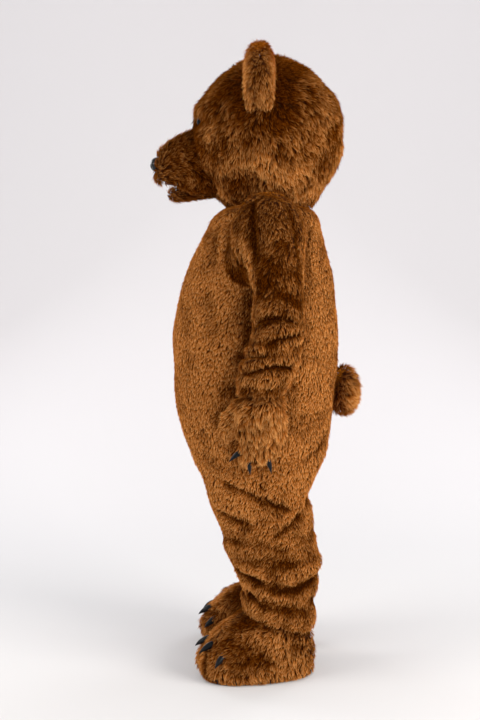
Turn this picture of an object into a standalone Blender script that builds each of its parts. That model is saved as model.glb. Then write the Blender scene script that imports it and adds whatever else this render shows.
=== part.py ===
"""A bear mascot costume in its worn form, empty inside: suit, head, two mitts and two boots.

Metres, +Z up. The bear faces -Y, and its left is +X. Heights in the tables are above the soles, and
the origin is the point between the wearer's shoulders, which the whole costume hangs from.
A cloth piece is a wall: its outer face is where the lying pile ends, its inner face is the bare
backing, and beside a seam it keeps SEAM_GAP to the next piece.
Tables and functions give the left side. The right side is the same shape with X turned round.
"""

import bmesh
import bpy
import numpy as np
from mathutils import Matrix, Vector

SHOULDER_HEIGHT = 1.44      # the origin, above the soles
SEAM_GAP = 0.0003
STAND_CLEAR = 0.0025        # under a piece whose flat base stands on a round one
LOBE_CLEAR = 0.0012         # under the open edge of a hollow piece that stands on a round one
FUR_WALL = 0.014            # 2 mm of backing and the pile that lies on it
HEAD_WALL = 0.024           # the same fur on 10 mm of foam
LIP_WALL = 0.016            # fur on thin foam, for the muzzle
CREASE_FOLLOW = 0.6         # how far the backing follows a crease of the pile
CREASE_ENDS = 0.35          # the share of its height that a crease has at its ends
TINY = 1e-4                 # the step in which a slope is measured, and the weld distance

for old in list(bpy.data.objects):
    bpy.data.objects.remove(old, do_unlink=True)


# Tables, curves and surfaces

def columns(names, rows):
    """A table as a dictionary of whole columns, each called by its name."""
    return dict(zip(names.split(), np.array(rows, float).T))


def curve(at, knots, values):
    """A smooth curve through the rows: cubic stretches with the slopes of the rows around them."""
    at = np.asarray(at, float)
    slopes = np.gradient(values, knots)
    first = np.clip(np.searchsorted(knots, at) - 1, 0, len(knots) - 2)
    span = knots[first + 1] - knots[first]
    t = np.clip((at - knots[first]) / span, 0, 1)
    rise = values[first + 1] - values[first]
    start = slopes[first] * span
    end = slopes[first + 1] * span
    bend = start + end - 2 * rise
    return values[first] + t * (start + t * (rise - start - bend + t * bend))


def row_at(table, at):
    """Every column of a table, read at these places of its first column."""
    knots = next(iter(table.values()))
    return {name: curve(at, knots, values) for name, values in table.items()}


def crease_height(table, u, v):
    """Soft ridges and troughs, each along a line from (u0, v0) to (u1, v1), with tapering ends.

    v is an angle: reach, the radius that it turns on, makes it a length like u.
    """
    total = np.zeros(np.shape(u))
    for u0, v0, u1, v1, width, height, reach in zip(*table.values()):
        along = np.array([u1 - u0, np.radians(v1 - v0) * reach])
        length = np.linalg.norm(along)
        along = along / length
        du = u - u0
        turn = (v - np.radians(v0) + np.pi) % (2 * np.pi) - np.pi
        dv = turn * reach
        place = (du * along[0] + dv * along[1]) / length
        off = (du * along[1] - dv * along[0]) / width
        past_end = np.maximum(np.abs(place - 0.5) - 0.5, 0) * length / width
        inside = np.clip(1 - (2 * place - 1) ** 2, 0, 1) ** 0.5
        share = CREASE_ENDS + (1 - CREASE_ENDS) * inside
        total = total + height * share * np.exp(-off ** 2 - past_end ** 2)
    return total


def normal(surface, u, v):
    """Outward unit normals of a surface, from its slopes, all turned away from its middle line."""
    across_u = surface(u + TINY, v) - surface(u - TINY, v)
    across_v = surface(u, v + TINY) - surface(u, v - TINY)
    out = np.cross(across_u, across_v)
    return out / np.maximum(np.linalg.norm(out, axis=-1, keepdims=True), 1e-12)


def offset_grids(surface, u, v, thickness, sense, creases=None):
    """The outer and inner points of a wall. sense is 1 or -1 and turns the normals outwards."""
    out = sense * normal(surface, u, v)
    raised = crease_height(creases, u, v)[..., None] if creases else 0
    outer = surface(u, v) + out * raised
    inner = surface(u, v) + out * (raised * CREASE_FOLLOW - thickness)
    for row in (0, -1):
        if np.ptp(outer[row], axis=0).max() < TINY:
            outer[row] = outer[row].mean(axis=0)
            inner[row] = inner[row].mean(axis=0)
    return outer, inner


# Objects and materials

def material(name, colour, roughness, sheen=0.0):
    """A plain finish. colour is linear red, green and blue."""
    made = bpy.data.materials.new(name)
    made.use_nodes = True
    shader = made.node_tree.nodes["Principled BSDF"]
    shader.inputs["Base Color"].default_value = (*colour, 1)
    shader.inputs["Roughness"].default_value = roughness
    shader.inputs["Metallic"].default_value = 0
    shader.inputs["Sheen Weight"].default_value = sheen
    return made


BROWN_FUR = material("long-pile brown fur fabric", (0.17, 0.062, 0.015), 0.9, 0.3)
DARK_LINING = material("black fleece lining", (0.012, 0.009, 0.008), 0.95)
BLACK_PLASTIC = material("glossy black plastic", (0.006, 0.006, 0.007), 0.18)
ZIP_BROWN = material("brown zip tape", (0.07, 0.028, 0.010), 0.6)
BLACK_RUBBER = material("black foam rubber sole", (0.015, 0.014, 0.013), 0.85)

wearer = bpy.data.objects.new("wearer_on_the_floor", None)
wearer.location.z = -SHOULDER_HEIGHT
bpy.context.collection.objects.link(wearer)


def add_object(name, mesh, finish):
    """A named object on the costume's frame, with round faces shaded smooth."""
    mesh.materials.clear()
    mesh.materials.append(finish)
    mesh.shade_smooth()
    mesh.set_sharp_from_angle(angle=np.radians(50))
    made = bpy.data.objects.new(name, mesh)
    made.parent = wearer
    bpy.context.collection.objects.link(made)
    return made


def closed_mesh(name, points, faces):
    """A mesh with its doubled points merged and its faces turned outwards."""
    mesh = bpy.data.meshes.new(name)
    mesh.from_pydata(points.tolist(), [], faces)
    work = bmesh.new()
    work.from_mesh(mesh)
    bmesh.ops.remove_doubles(work, verts=work.verts, dist=1e-6)
    bmesh.ops.recalc_face_normals(work, faces=work.faces)
    loose = [edge for edge in work.edges if not edge.link_faces]
    bmesh.ops.delete(work, geom=loose, context="EDGES")
    work.to_mesh(mesh)
    work.free()
    return mesh


def grid_faces(rows, cols, first, loop):
    """Quads between the points of a grid whose points are numbered from first."""
    number = first + np.arange(rows * cols).reshape(rows, cols)
    right = np.roll(number, -1, axis=1)
    if not loop:
        number, right = number[:, :-1], right[:, :-1]
    quads = np.stack([number[:-1], right[:-1], right[1:], number[1:]], axis=-1)
    return quads.reshape(-1, 4).tolist()


def solid_between(name, outer, inner, finish, loop=False, side=1, shift=(0, 0, 0)):
    """A closed wall between two grids of points. loop joins the last column to the first."""
    rows, cols = outer.shape[:2]
    count = rows * cols
    faces = grid_faces(rows, cols, 0, loop) + grid_faces(rows, cols, count, loop)
    number = np.arange(count).reshape(rows, cols)
    edges = [number[0], number[-1]]
    if loop:
        edges = [np.append(edge, edge[0]) for edge in edges]
    else:
        edges += [number[:, 0], number[:, -1]]
    for edge in edges:
        for a, b in zip(edge[:-1].tolist(), edge[1:].tolist()):
            faces.append((a, b, b + count, a + count))
    points = np.concatenate([outer.reshape(-1, 3), inner.reshape(-1, 3)]) + np.array(shift)
    points[:, 0] *= side
    return add_object(name, closed_mesh(name, points, faces), finish)


def plug(name, grid, base, finish, side=1):
    """A filled piece: a dome of rings that ends in a pole, closed at its first ring by a fan."""
    rows, cols = grid.shape[:2]
    faces = grid_faces(rows, cols, 0, True)
    middle = rows * cols
    for a in range(cols):
        faces.append((a, (a + 1) % cols, middle))
    points = np.concatenate([grid.reshape(-1, 3), np.array([base])])
    points[:, 0] *= side
    return add_object(name, closed_mesh(name, points, faces), finish)


SIDES = {"left": 1, "right": -1}


# The suit: front and back panels, each cut as a yoke, a body and a leg, from the collar to the hems.
# Each height has one ring for each half of the body. Its centre moves out from the middle line
# below the belly, and where it passes its half width the ring is a leg of its own.
# lift raises the ring at its side, for the shoulder, and dip raises its front, for the hem.

BODY = columns(
    "height centre half_width front back lift dip",
    [
        (0.182, 0.137, 0.108, -0.040, 0.184, 0.000, 0.028),
        (0.215, 0.137, 0.107, -0.045, 0.186, 0.000, 0.026),
        (0.250, 0.137, 0.105, -0.047, 0.190, 0.000, 0.018),
        (0.290, 0.137, 0.107, -0.053, 0.194, 0.000, 0.008),
        (0.330, 0.137, 0.113, -0.068, 0.197, 0.000, 0.002),
        (0.380, 0.137, 0.116, -0.086, 0.194, 0.000, 0.000),
        (0.450, 0.136, 0.118, -0.108, 0.186, 0.000, 0.000),
        (0.520, 0.135, 0.121, -0.135, 0.174, 0.000, 0.000),
        (0.570, 0.133, 0.124, -0.149, 0.172, 0.000, 0.000),
        (0.610, 0.129, 0.128, -0.162, 0.182, 0.000, 0.000),
        (0.645, 0.113, 0.143, -0.181, 0.202, 0.000, 0.000),
        (0.685, 0.084, 0.172, -0.199, 0.220, 0.000, 0.000),
        (0.730, 0.048, 0.208, -0.222, 0.231, 0.000, 0.000),
        (0.790, 0.014, 0.245, -0.240, 0.241, 0.000, 0.000),
        (0.860, 0.000, 0.263, -0.250, 0.252, 0.000, 0.000),
        (0.950, 0.000, 0.268, -0.254, 0.259, 0.000, 0.000),
        (1.040, 0.000, 0.266, -0.254, 0.260, 0.000, 0.000),
        (1.130, 0.000, 0.257, -0.240, 0.252, 0.000, 0.000),
        (1.210, 0.000, 0.243, -0.219, 0.243, 0.000, 0.000),
        (1.300, 0.000, 0.228, -0.183, 0.221, 0.008, 0.000),
        (1.360, 0.000, 0.219, -0.151, 0.205, 0.026, 0.000),
        (1.400, 0.000, 0.205, -0.128, 0.193, 0.044, 0.000),
        (1.418, 0.000, 0.172, -0.108, 0.180, 0.022, 0.000),
        (1.432, 0.000, 0.134, -0.087, 0.166, 0.004, 0.000),
        (1.446, 0.000, 0.120, -0.076, 0.157, 0.000, 0.000),
        (1.466, 0.000, 0.116, -0.072, 0.152, 0.000, 0.000),
    ],
)

# Angles run from the side seam: minus to the front and plus to the back, in degrees.
BODY_CREASES = columns(
    "from_height from_angle to_height to_angle width height reach",
    [
        (0.640, -78, 0.560, 48, 0.014, 0.007, 0.18),     # fine ridge from the lap to the seat
        (0.612, -70, 0.535, 40, 0.022, -0.008, 0.18),    # hollow under it
        (0.570, 58, 0.600, 150, 0.026, 0.012, 0.14),     # the seat hangs over the thigh
        (0.458, 16, 0.535, 72, 0.018, -0.008, 0.14),
        (0.535, 72, 0.572, 155, 0.018, -0.014, 0.14),
        (0.655, 95, 0.625, 150, 0.020, -0.010, 0.14),
        (0.500, 12, 0.690, -6, 0.016, -0.007, 0.14),     # along the side seam
        (0.520, -100, 0.480, -15, 0.024, -0.007, 0.13),
        (0.470, 150, 0.440, 40, 0.026, -0.006, 0.13),
        (0.400, -120, 0.415, 0, 0.022, 0.005, 0.12),
        (0.352, -100, 0.310, -20, 0.022, -0.014, 0.12),  # deep folds above the boot
        (0.380, -95, 0.345, -10, 0.024, 0.008, 0.12),
        (0.302, -30, 0.330, 95, 0.022, -0.014, 0.12),
        (0.334, 0, 0.360, 110, 0.022, 0.008, 0.12),
        (0.330, 110, 0.345, 200, 0.022, -0.010, 0.12),
        (0.262, 20, 0.236, 120, 0.020, -0.010, 0.12),
        (0.262, -150, 0.250, -50, 0.020, -0.007, 0.12),
        (0.285, -60, 0.282, 60, 0.018, 0.007, 0.12),
        (0.210, -60, 0.205, 100, 0.020, 0.006, 0.12),
    ],
)

ARMHOLE_HEIGHT = 1.300
ARMHOLE_HALF_HEIGHT = 0.102
ARMHOLE_HALF_ANGLE = np.radians(31)
ARMHOLE_STEPS = 7
PANEL_COLUMNS = 8
PANEL_CUTS = {"yoke": (1.466, 1.170), "body": (1.170, 0.655), "leg": (0.655, 0.182)}
ZIP_HALF_WIDTH = 0.004
ZIP_TOP = 1.47
ZIP_BOTTOM = 0.96
ZIP_SUNK = 0.004            # how far the zip lies below the pile's surface
ZIP_OPENING = 0.02          # how far the panels stay parted above and below the zip


def body(height, angle):
    """The suit's smooth outside: an ellipse at each height, at this angle from the side seam."""
    row = row_at(BODY, height)
    x = row["centre"] + row["half_width"] * np.cos(angle)
    y = (row["front"] + row["back"]) / 2 + (row["back"] - row["front"]) / 2 * np.sin(angle)
    z = row["height"] + row["lift"] * np.cos(angle) ** 2 - row["dip"] * np.sin(angle)
    return np.stack([x, y, z + (height - row["height"])], axis=-1)


def middle_angle(height, edge_x):
    """The angle at which a ring meets the middle line, or the inseam where it is a leg."""
    row = row_at(BODY, height)
    at_middle = np.arccos(np.clip((edge_x - row["centre"]) / row["half_width"], -1, 1))
    return np.minimum(at_middle, np.pi - SEAM_GAP)


def panel_heights():
    """Rows down the suit: those of the armhole follow its curve, and folds have closer rows."""
    sines = np.sin(np.linspace(np.pi / 2, -np.pi / 2, ARMHOLE_STEPS + 1))
    armhole = ARMHOLE_HEIGHT + ARMHOLE_HALF_HEIGHT * sines
    collar = (1.466, 1.446, 1.430, 1.417)
    belly = (1.14, 1.08, 1.01, 0.94, 0.87, 0.81, 0.76, 0.72, 0.69, 0.665)
    seat = (0.643, 0.623, 0.604, 0.585, 0.566, 0.548, 0.530, 0.500, 0.465, 0.430, 0.400)
    shin = (0.376, 0.354, 0.338, 0.322, 0.304, 0.284, 0.264, 0.246, 0.228, 0.205, 0.182)
    return np.concatenate([collar, armhole, belly, seat, shin])


def cut_heights(top, bottom):
    """The rows of one cut piece, with half a seam's gap at each end."""
    rows = panel_heights()
    inside = rows[(rows < top - SEAM_GAP) & (rows > bottom + SEAM_GAP)]
    return np.concatenate([[top - SEAM_GAP / 2], inside, [bottom + SEAM_GAP / 2]])


def armhole_edge(height):
    """How far from the side seam a panel stops, to leave its half of the armhole open."""
    part = (height - ARMHOLE_HEIGHT) / ARMHOLE_HALF_HEIGHT
    return ARMHOLE_HALF_ANGLE * np.sqrt(np.clip(1 - part ** 2, 0, None))


def add_panel(name, side, sense, heights, edge_x):
    """A front (sense -1) or back (sense 1) piece, from its side edge to the middle line."""
    from_side = armhole_edge(heights) + SEAM_GAP * 4
    to_middle = middle_angle(heights, edge_x) - SEAM_GAP * 2
    share = np.linspace(0, 1, PANEL_COLUMNS)
    angle = sense * (from_side[:, None] + (to_middle - from_side)[:, None] * share)
    height = np.repeat(heights[:, None], PANEL_COLUMNS, axis=1)
    outer, inner = offset_grids(body, height, angle, FUR_WALL, -1, BODY_CREASES)
    for grid in (outer, inner):
        grid[..., 0] = np.maximum(grid[..., 0], edge_x[:, None])
    solid_between(name, outer, inner, BROWN_FUR, side=side)


def zip_edge(height):
    """The back panels part for the zip, and meet again above and below it."""
    beside = (height < ZIP_TOP + ZIP_OPENING) & (height > ZIP_BOTTOM - ZIP_OPENING)
    return np.where(beside, ZIP_HALF_WIDTH + SEAM_GAP, SEAM_GAP / 2)


for side_name, side in SIDES.items():
    for cut_name, (top, bottom) in PANEL_CUTS.items():
        heights = cut_heights(top, bottom)
        front_edge = np.full(len(heights), SEAM_GAP / 2)
        add_panel(f"suit_front_{side_name}_{cut_name}", side, -1, heights, front_edge)
        add_panel(f"suit_back_{side_name}_{cut_name}", side, 1, heights, zip_edge(heights))


def add_zip():
    """The closed zip: a narrow strip down the centre back, sunk a little below the pile."""
    heights = panel_heights()
    heights = heights[(heights <= ZIP_TOP) & (heights >= ZIP_BOTTOM)]
    rows = row_at(BODY, heights)
    grids = []
    for depth in (ZIP_SUNK, FUR_WALL):
        x = np.array([-1, 0, 1])[None] * ZIP_HALF_WIDTH + 0 * heights[:, None]
        y = rows["back"][:, None] - depth + 0 * x
        z = heights[:, None] + 0 * x
        grids.append(np.stack([x, y, z], axis=-1))
    solid_between("suit_zip", grids[0], grids[1], ZIP_BROWN)


add_zip()

SLIDER_SIZE = (0.006, 0.003, 0.012)
SLIDER_EDGE = 0.0008
SLIDER_HEIGHT = 1.455
SLIDER_SPAN = 0.01          # the stretch of the zip whose lean the slider takes


def add_slider():
    """The slider at the top of the closed zip, lying along it."""
    work = bmesh.new()
    bmesh.ops.create_cube(work, size=1)
    bmesh.ops.scale(work, vec=Vector(SLIDER_SIZE), verts=work.verts)
    bmesh.ops.bevel(work, geom=work.edges, offset=SLIDER_EDGE, segments=1, affect="EDGES")
    mesh = bpy.data.meshes.new("zip_slider")
    work.to_mesh(mesh)
    work.free()
    slider = add_object("zip_slider", mesh, BLACK_PLASTIC)
    above = row_at(BODY, SLIDER_HEIGHT + SLIDER_SPAN / 2)
    below = row_at(BODY, SLIDER_HEIGHT - SLIDER_SPAN / 2)
    lean = np.arctan2(below["back"] - above["back"], SLIDER_SPAN)
    middle = (above["back"] + below["back"]) / 2 - ZIP_SUNK + SLIDER_SIZE[1] / 2 + SEAM_GAP * 4
    slider.location = (0, float(middle), SLIDER_HEIGHT)
    slider.rotation_euler = (float(lean), 0, 0)


add_slider()


# Sleeves: one-piece tubes set into the armholes. Each row is a ring from the top of the arm, or its
# outer side, to the underarm, or its inner side, and from its front to its back.

SLEEVE = columns(
    "along outer_x outer_z inner_x inner_z front back",
    [
        (0.00, 0.2050, 1.446, 0.2450, 1.198, -0.060, 0.134),
        (0.03, 0.2400, 1.466, 0.2540, 1.190, -0.069, 0.140),
        (0.07, 0.2850, 1.460, 0.2610, 1.180, -0.067, 0.141),
        (0.12, 0.3300, 1.430, 0.2660, 1.165, -0.050, 0.139),
        (0.18, 0.3700, 1.375, 0.2700, 1.145, -0.028, 0.136),
        (0.24, 0.3950, 1.300, 0.2730, 1.120, -0.014, 0.135),
        (0.31, 0.4100, 1.215, 0.2750, 1.080, -0.012, 0.138),
        (0.38, 0.4160, 1.135, 0.2765, 1.035, -0.014, 0.140),
        (0.45, 0.4180, 1.065, 0.2785, 0.995, -0.022, 0.133),
        (0.52, 0.4195, 1.000, 0.2810, 0.955, -0.041, 0.118),
        (0.58, 0.4210, 0.945, 0.2840, 0.925, -0.054, 0.103),
        (0.62, 0.4200, 0.905, 0.2860, 0.903, -0.059, 0.088),
    ],
)

# Angles run round the arm: 0 is its back, 90 its outer side, 180 its front.
SLEEVE_CREASES = columns(
    "from_along from_angle to_along to_angle width height reach",
    [
        (0.085, 118, 0.215, 142, 0.014, -0.016, 0.09),   # deep fold in front of the shoulder
        (0.080, 150, 0.185, 175, 0.020, 0.007, 0.09),
        (0.100, 62, 0.200, 34, 0.018, -0.008, 0.09),     # fold behind it
        (0.300, 150, 0.340, 40, 0.022, -0.005, 0.075),
        (0.435, 150, 0.395, 58, 0.015, -0.010, 0.075),   # elbow creases
        (0.410, 120, 0.375, 20, 0.018, 0.006, 0.075),
        (0.475, 100, 0.425, 15, 0.014, -0.010, 0.075),
        (0.452, 80, 0.410, -10, 0.016, 0.006, 0.075),
        (0.490, 170, 0.530, 42, 0.015, -0.010, 0.075),
        (0.510, 175, 0.555, 60, 0.016, 0.006, 0.075),
        (0.568, 130, 0.580, 60, 0.016, -0.014, 0.070),   # gathered above the mitt
        (0.590, 200, 0.600, 130, 0.014, -0.007, 0.070),
        (0.548, 20, 0.572, -40, 0.014, -0.007, 0.070),
    ],
)

SLEEVE_JOIN = 0.045         # the length over which the armhole's curve passes into the tube
SLEEVE_SHRINK = 0.005       # how much smaller than the armhole the sleeve's first ring is, as a share
SLEEVE_ROWS = (0, 0.02, 0.045, 0.08, 0.12, 0.16, 0.2, 0.245, 0.295, 0.345, 0.385,
               0.42, 0.452, 0.484, 0.516, 0.548, 0.572, 0.596, 0.62)


def armhole(angle, shrink):
    """The armhole's edge, on the outside of the suit, made smaller by the share shrink."""
    height = ARMHOLE_HEIGHT + ARMHOLE_HALF_HEIGHT * np.sin(angle) * (1 - shrink)
    return body(height, ARMHOLE_HALF_ANGLE * np.cos(angle) * (1 - shrink))


def sleeve(along, angle):
    """An ellipse at each row, which near the shoulder passes into the armhole's own curve."""
    row = row_at(SLEEVE, along)
    up = (1 + np.sin(angle)) / 2
    x = row["inner_x"] + (row["outer_x"] - row["inner_x"]) * up
    y = (row["front"] + row["back"]) / 2 + (row["back"] - row["front"]) / 2 * np.cos(angle)
    z = row["inner_z"] + (row["outer_z"] - row["inner_z"]) * up
    return np.stack([x, y, z], axis=-1)


def set_in_sleeve(along, angle):
    """The sleeve with its first ring moved onto the armhole, and the next ones part of the way."""
    hold = np.clip(1 - along / SLEEVE_JOIN, 0, 1) ** 2
    seam = armhole(angle, SLEEVE_SHRINK) + np.array([SEAM_GAP, 0, 0])
    start = sleeve(np.zeros_like(along), angle)
    return sleeve(along, angle) + (seam - start) * hold[..., None]


def add_sleeve(side_name, side):
    turn = np.linspace(0, 2 * np.pi, 2 * ARMHOLE_STEPS + 1)[:-1] + np.pi / 2
    along, angle = np.meshgrid(SLEEVE_ROWS, turn, indexing="ij")
    outer, inner = offset_grids(set_in_sleeve, along, angle, FUR_WALL, -1, SLEEVE_CREASES)
    solid_between("sleeve_" + side_name, outer, inner, BROWN_FUR, loop=True, side=side)


for side_name, side in SIDES.items():
    add_sleeve(side_name, side)


# The tail: a stuffed ball that sits on the centre back, just below the zip.

TAIL_HEIGHT = 0.862
TAIL_RADIUS = 0.084
TAIL_REACH = 0.333
TAIL_FIRST_LEAN = np.radians(38)
TAIL_ROWS = 7
TAIL_SIDES = 12


def back_face(x, z):
    """How far back the suit is at this place, left of the middle line or right of it."""
    row = row_at(BODY, z)
    part = np.clip(1 - ((np.abs(x) - row["centre"]) / row["half_width"]) ** 2, 0, 1)
    return (row["front"] + row["back"]) / 2 + (row["back"] - row["front"]) / 2 * np.sqrt(part)


def tail():
    """Rings on the suit's back that swell to the ball's width and close at its rear."""
    turn = np.linspace(0, np.pi * 2, TAIL_SIDES + 1)[:-1]
    share, angle = np.meshgrid(np.linspace(0, 1, TAIL_ROWS), turn, indexing="ij")
    lean = TAIL_FIRST_LEAN + share * (np.pi - TAIL_FIRST_LEAN)
    size = TAIL_RADIUS * np.sin(lean)
    x = size * np.cos(angle)
    z = TAIL_HEIGHT + size * np.sin(angle)
    base = back_face(x[:1], z[:1]) + STAND_CLEAR
    forward = (np.cos(lean[:1]) - np.cos(lean)) / (np.cos(lean[:1]) + 1)
    y = base + (TAIL_REACH - base) * forward
    return np.stack([x, y, z], axis=-1)


plug("tail", tail(), (0, float(back_face(0, TAIL_HEIGHT)) + STAND_CLEAR, TAIL_HEIGHT), BROWN_FUR)


# The head: a left and a right half, on an egg shape that is fuller below, with an open neck.

HEAD_HEIGHT = 1.660
HEAD_MIDDLE = 0.040
HEAD_HALF_WIDTH = 0.250
HEAD_HALF_DEPTH = 0.234
HEAD_UP = 0.226
HEAD_DOWN = 0.280
NECK_LEAN = np.radians(142.5)
CROWN_LEAN = np.radians(2)  # nearer the crown than this, every normal is the one there
HEAD_ROWS = 13
HEAD_COLUMNS = 11


def head(lean, angle):
    """The head's outside: lean from straight up, and angle round from the side, plus to the back."""
    tall = np.where(np.cos(lean) > 0, HEAD_UP, HEAD_DOWN)
    x = HEAD_HALF_WIDTH * np.sin(lean) * np.cos(angle)
    y = HEAD_MIDDLE + HEAD_HALF_DEPTH * np.sin(lean) * np.sin(angle)
    z = HEAD_HEIGHT + tall * np.cos(lean)
    return np.stack([x, y, z], axis=-1)


def face_front(x, z):
    """How far forward the head is at this place."""
    tall = np.where(z > HEAD_HEIGHT, HEAD_UP, HEAD_DOWN)
    part = 1 - (x / HEAD_HALF_WIDTH) ** 2 - ((z - HEAD_HEIGHT) / tall) ** 2
    return HEAD_MIDDLE - HEAD_HALF_DEPTH * np.sqrt(np.clip(part, 0, 1))


def add_head_half(side_name, side):
    lean, angle = np.meshgrid(np.linspace(0, NECK_LEAN, HEAD_ROWS),
                              np.linspace(-np.pi / 2, np.pi / 2, HEAD_COLUMNS), indexing="ij")
    safe = np.maximum(lean, CROWN_LEAN)
    out = normal(head, safe, angle)
    outer = head(lean, angle)
    inner = outer - HEAD_WALL * out
    inner[0] = inner[0].mean(axis=0) * np.array([0, 1, 1])
    solid_between("head_" + side_name, outer, inner, BROWN_FUR, side=side,
                  shift=(SEAM_GAP / 2, 0, 0))


for side_name, side in SIDES.items():
    add_head_half(side_name, side)


# The muzzle: an upper and a lower half that stand on the face. Each row is a half-round section:
# forward is its share of the way from the face to the front, and wide and tall are its shares of the
# full size.

UPPER_LIP = 1.503
LOWER_LIP = 1.484

MUZZLE_UPPER = {
    "front": -0.309, "half_width": 0.104, "height": 0.172, "lip": UPPER_LIP,
    "rows": columns("at forward wide tall", [
        (0, 0.00, 1.00, 1.00), (1, 0.25, 0.92, 0.92), (2, 0.50, 0.83, 0.83), (3, 0.72, 0.74, 0.74),
        (4, 0.88, 0.63, 0.63), (5, 0.97, 0.50, 0.50), (6, 1.00, 0.34, 0.34), (7, 1.00, 0.17, 0.17),
        (8, 1.00, 0.00, 0.00)]),
}
MUZZLE_JAW = {
    "front": -0.268, "half_width": 0.080, "height": -0.041, "lip": LOWER_LIP,
    "rows": columns("at forward wide tall", [
        (0, 0.00, 1.00, 0.62), (1, 0.35, 0.98, 0.82), (2, 0.65, 0.92, 0.98), (3, 0.85, 0.80, 1.00),
        (4, 0.95, 0.62, 0.92), (5, 0.99, 0.42, 0.70), (6, 1.00, 0.22, 0.38), (7, 1.00, 0.00, 0.00)]),
}
MUZZLE_COLUMNS = 13
MUZZLE_CORE = 0.35          # where the inside shrinks to, as a share of the way to the front
MUZZLE_REAR_ROOM = 0.05


def add_muzzle(name, part, thickness):
    """A half muzzle: a wall from the face to the front, open towards the other lip."""
    def muzzle(at, angle):
        row = row_at(part["rows"], np.clip(at, 0, len(part["rows"]["at"]) - 1))
        x = part["half_width"] * np.cos(angle)
        down = part["height"] * np.sin(angle)
        base = face_front(x, part["lip"] + down * part["rows"]["tall"][0]) - LOBE_CLEAR
        y = base + (part["front"] - base) * row["forward"]
        return np.stack([x * row["wide"], y, part["lip"] + down * row["tall"]], axis=-1)

    rows = part["rows"]["at"]
    at, angle = np.meshgrid(rows, np.linspace(0, np.pi, MUZZLE_COLUMNS), indexing="ij")
    outer = muzzle(at, angle)
    face = face_front(0, part["lip"])
    centre = np.array([0, face + (part["front"] - face) * MUZZLE_CORE, part["lip"]])
    depth = abs(part["front"] - centre[1]) + MUZZLE_REAR_ROOM
    size = np.array([part["half_width"], depth, abs(part["height"])])
    inner = centre + (outer - centre) * (1 - thickness / size)
    behind = face_front(inner[..., 0], inner[..., 2]) - LOBE_CLEAR
    inner[..., 1] = np.minimum(inner[..., 1], behind)
    inner[0, :, 1] = behind[0]
    solid_between(name, outer, inner, BROWN_FUR)


add_muzzle("muzzle_upper", MUZZLE_UPPER, LIP_WALL)
add_muzzle("muzzle_jaw", MUZZLE_JAW, LIP_WALL)

LINING_WALL = 0.003
LINING_HALF_WIDTH = 0.056
LINING_ROOF = (-0.288, -0.240, -0.195)      # where its rows are along the roof and the floor
LINING_FLOOR = (-0.195, -0.225, -0.250)
LINING_SUNK = 0.008         # how far its back lies behind the face's surface
LINING_BEND = 0.004
DIAGONAL = 0.7


def add_mouth_lining():
    """Plain lining folded into the mouth: roof, back and floor in one strip across."""
    rear = face_front(0, UPPER_LIP) - LINING_SUNK
    roof = UPPER_LIP - SEAM_GAP
    floor = LOWER_LIP + SEAM_GAP
    above = [(y, roof) for y in (*LINING_ROOF, rear - LINING_BEND)]
    below = [(y, floor) for y in (rear - LINING_BEND, *LINING_FLOOR)]
    outer = np.array(above + [(rear, (roof + floor) / 2)] + below)
    down, up = [(0, -1)] * len(LINING_ROOF), [(0, 1)] * len(LINING_FLOOR)
    bend = [(-DIAGONAL, -DIAGONAL), (-1, 0), (-DIAGONAL, DIAGONAL)]
    toward_gap = np.array(down + bend + up) * LINING_WALL
    across = np.linspace(-1, 1, 3) * LINING_HALF_WIDTH
    grids = []
    for line in (outer, outer + toward_gap):
        x = np.repeat(across[None], len(line), axis=0)
        yz = np.repeat(line[:, None], len(across), axis=1)
        grids.append(np.concatenate([x[..., None], yz], axis=-1))
    solid_between("mouth_lining", grids[0], grids[1], DARK_LINING)


add_mouth_lining()


def ball_mesh(name, radii, rings, sides):
    """An oval ball about its own centre."""
    mesh = bpy.data.meshes.new(name)
    work = bmesh.new()
    bmesh.ops.create_uvsphere(work, u_segments=sides, v_segments=rings, radius=1)
    bmesh.ops.scale(work, vec=Vector(radii), verts=work.verts)
    work.to_mesh(mesh)
    work.free()
    return mesh


def point_along(direction):
    """The turn that takes an object's own +Z to this direction."""
    return Vector(direction).to_track_quat("Z", "Y").to_euler()


NOSE_RADII = (0.030, 0.020, 0.0066)
NOSE_PLACE = (0, MUZZLE_UPPER["front"] - SEAM_GAP - NOSE_RADII[2], 1.561)
nose = add_object("nose", ball_mesh("nose", NOSE_RADII, 8, 14), BLACK_PLASTIC)
nose.location = NOSE_PLACE
nose.rotation_euler = point_along((0, -1, 0))

EYE_RADII = (0.017, 0.017, 0.005)
EYE_LEAN = np.radians(82)
EYE_ANGLE = np.radians(-79)
eye_mesh = ball_mesh("eye", EYE_RADII, 8, 12)
for side_name, side in SIDES.items():
    place = head(EYE_LEAN, EYE_ANGLE)
    out = normal(head, EYE_LEAN, EYE_ANGLE)
    eye = add_object("eye_" + side_name, eye_mesh, BLACK_PLASTIC)
    eye.location = (place + out * (EYE_RADII[2] + SEAM_GAP * 2)) * np.array([side, 1, 1])
    eye.rotation_euler = point_along(out * np.array([side, 1, 1]))


# Ears: two padded faces each, back to back, standing on the upper corner of the head.

EAR_MIDDLE = 0.009
EAR_FROM = np.radians(31)
EAR_TO = np.radians(77)
EAR_TALL = 0.105
EAR_HALF_THICK = 0.046
EAR_OUTLINE = 0.93          # the share of a full half circle that the ear's edge follows
EAR_RIM = 0.90              # how far round to the middle of the rim the padding goes
EAR_ROUND = 3.2             # how full the padding is: 2 is a half round
EAR_THIN = 0.6              # the share of its thickness that the ear has at its corners
EAR_COLUMNS = 10
EAR_ROWS = 8


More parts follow.
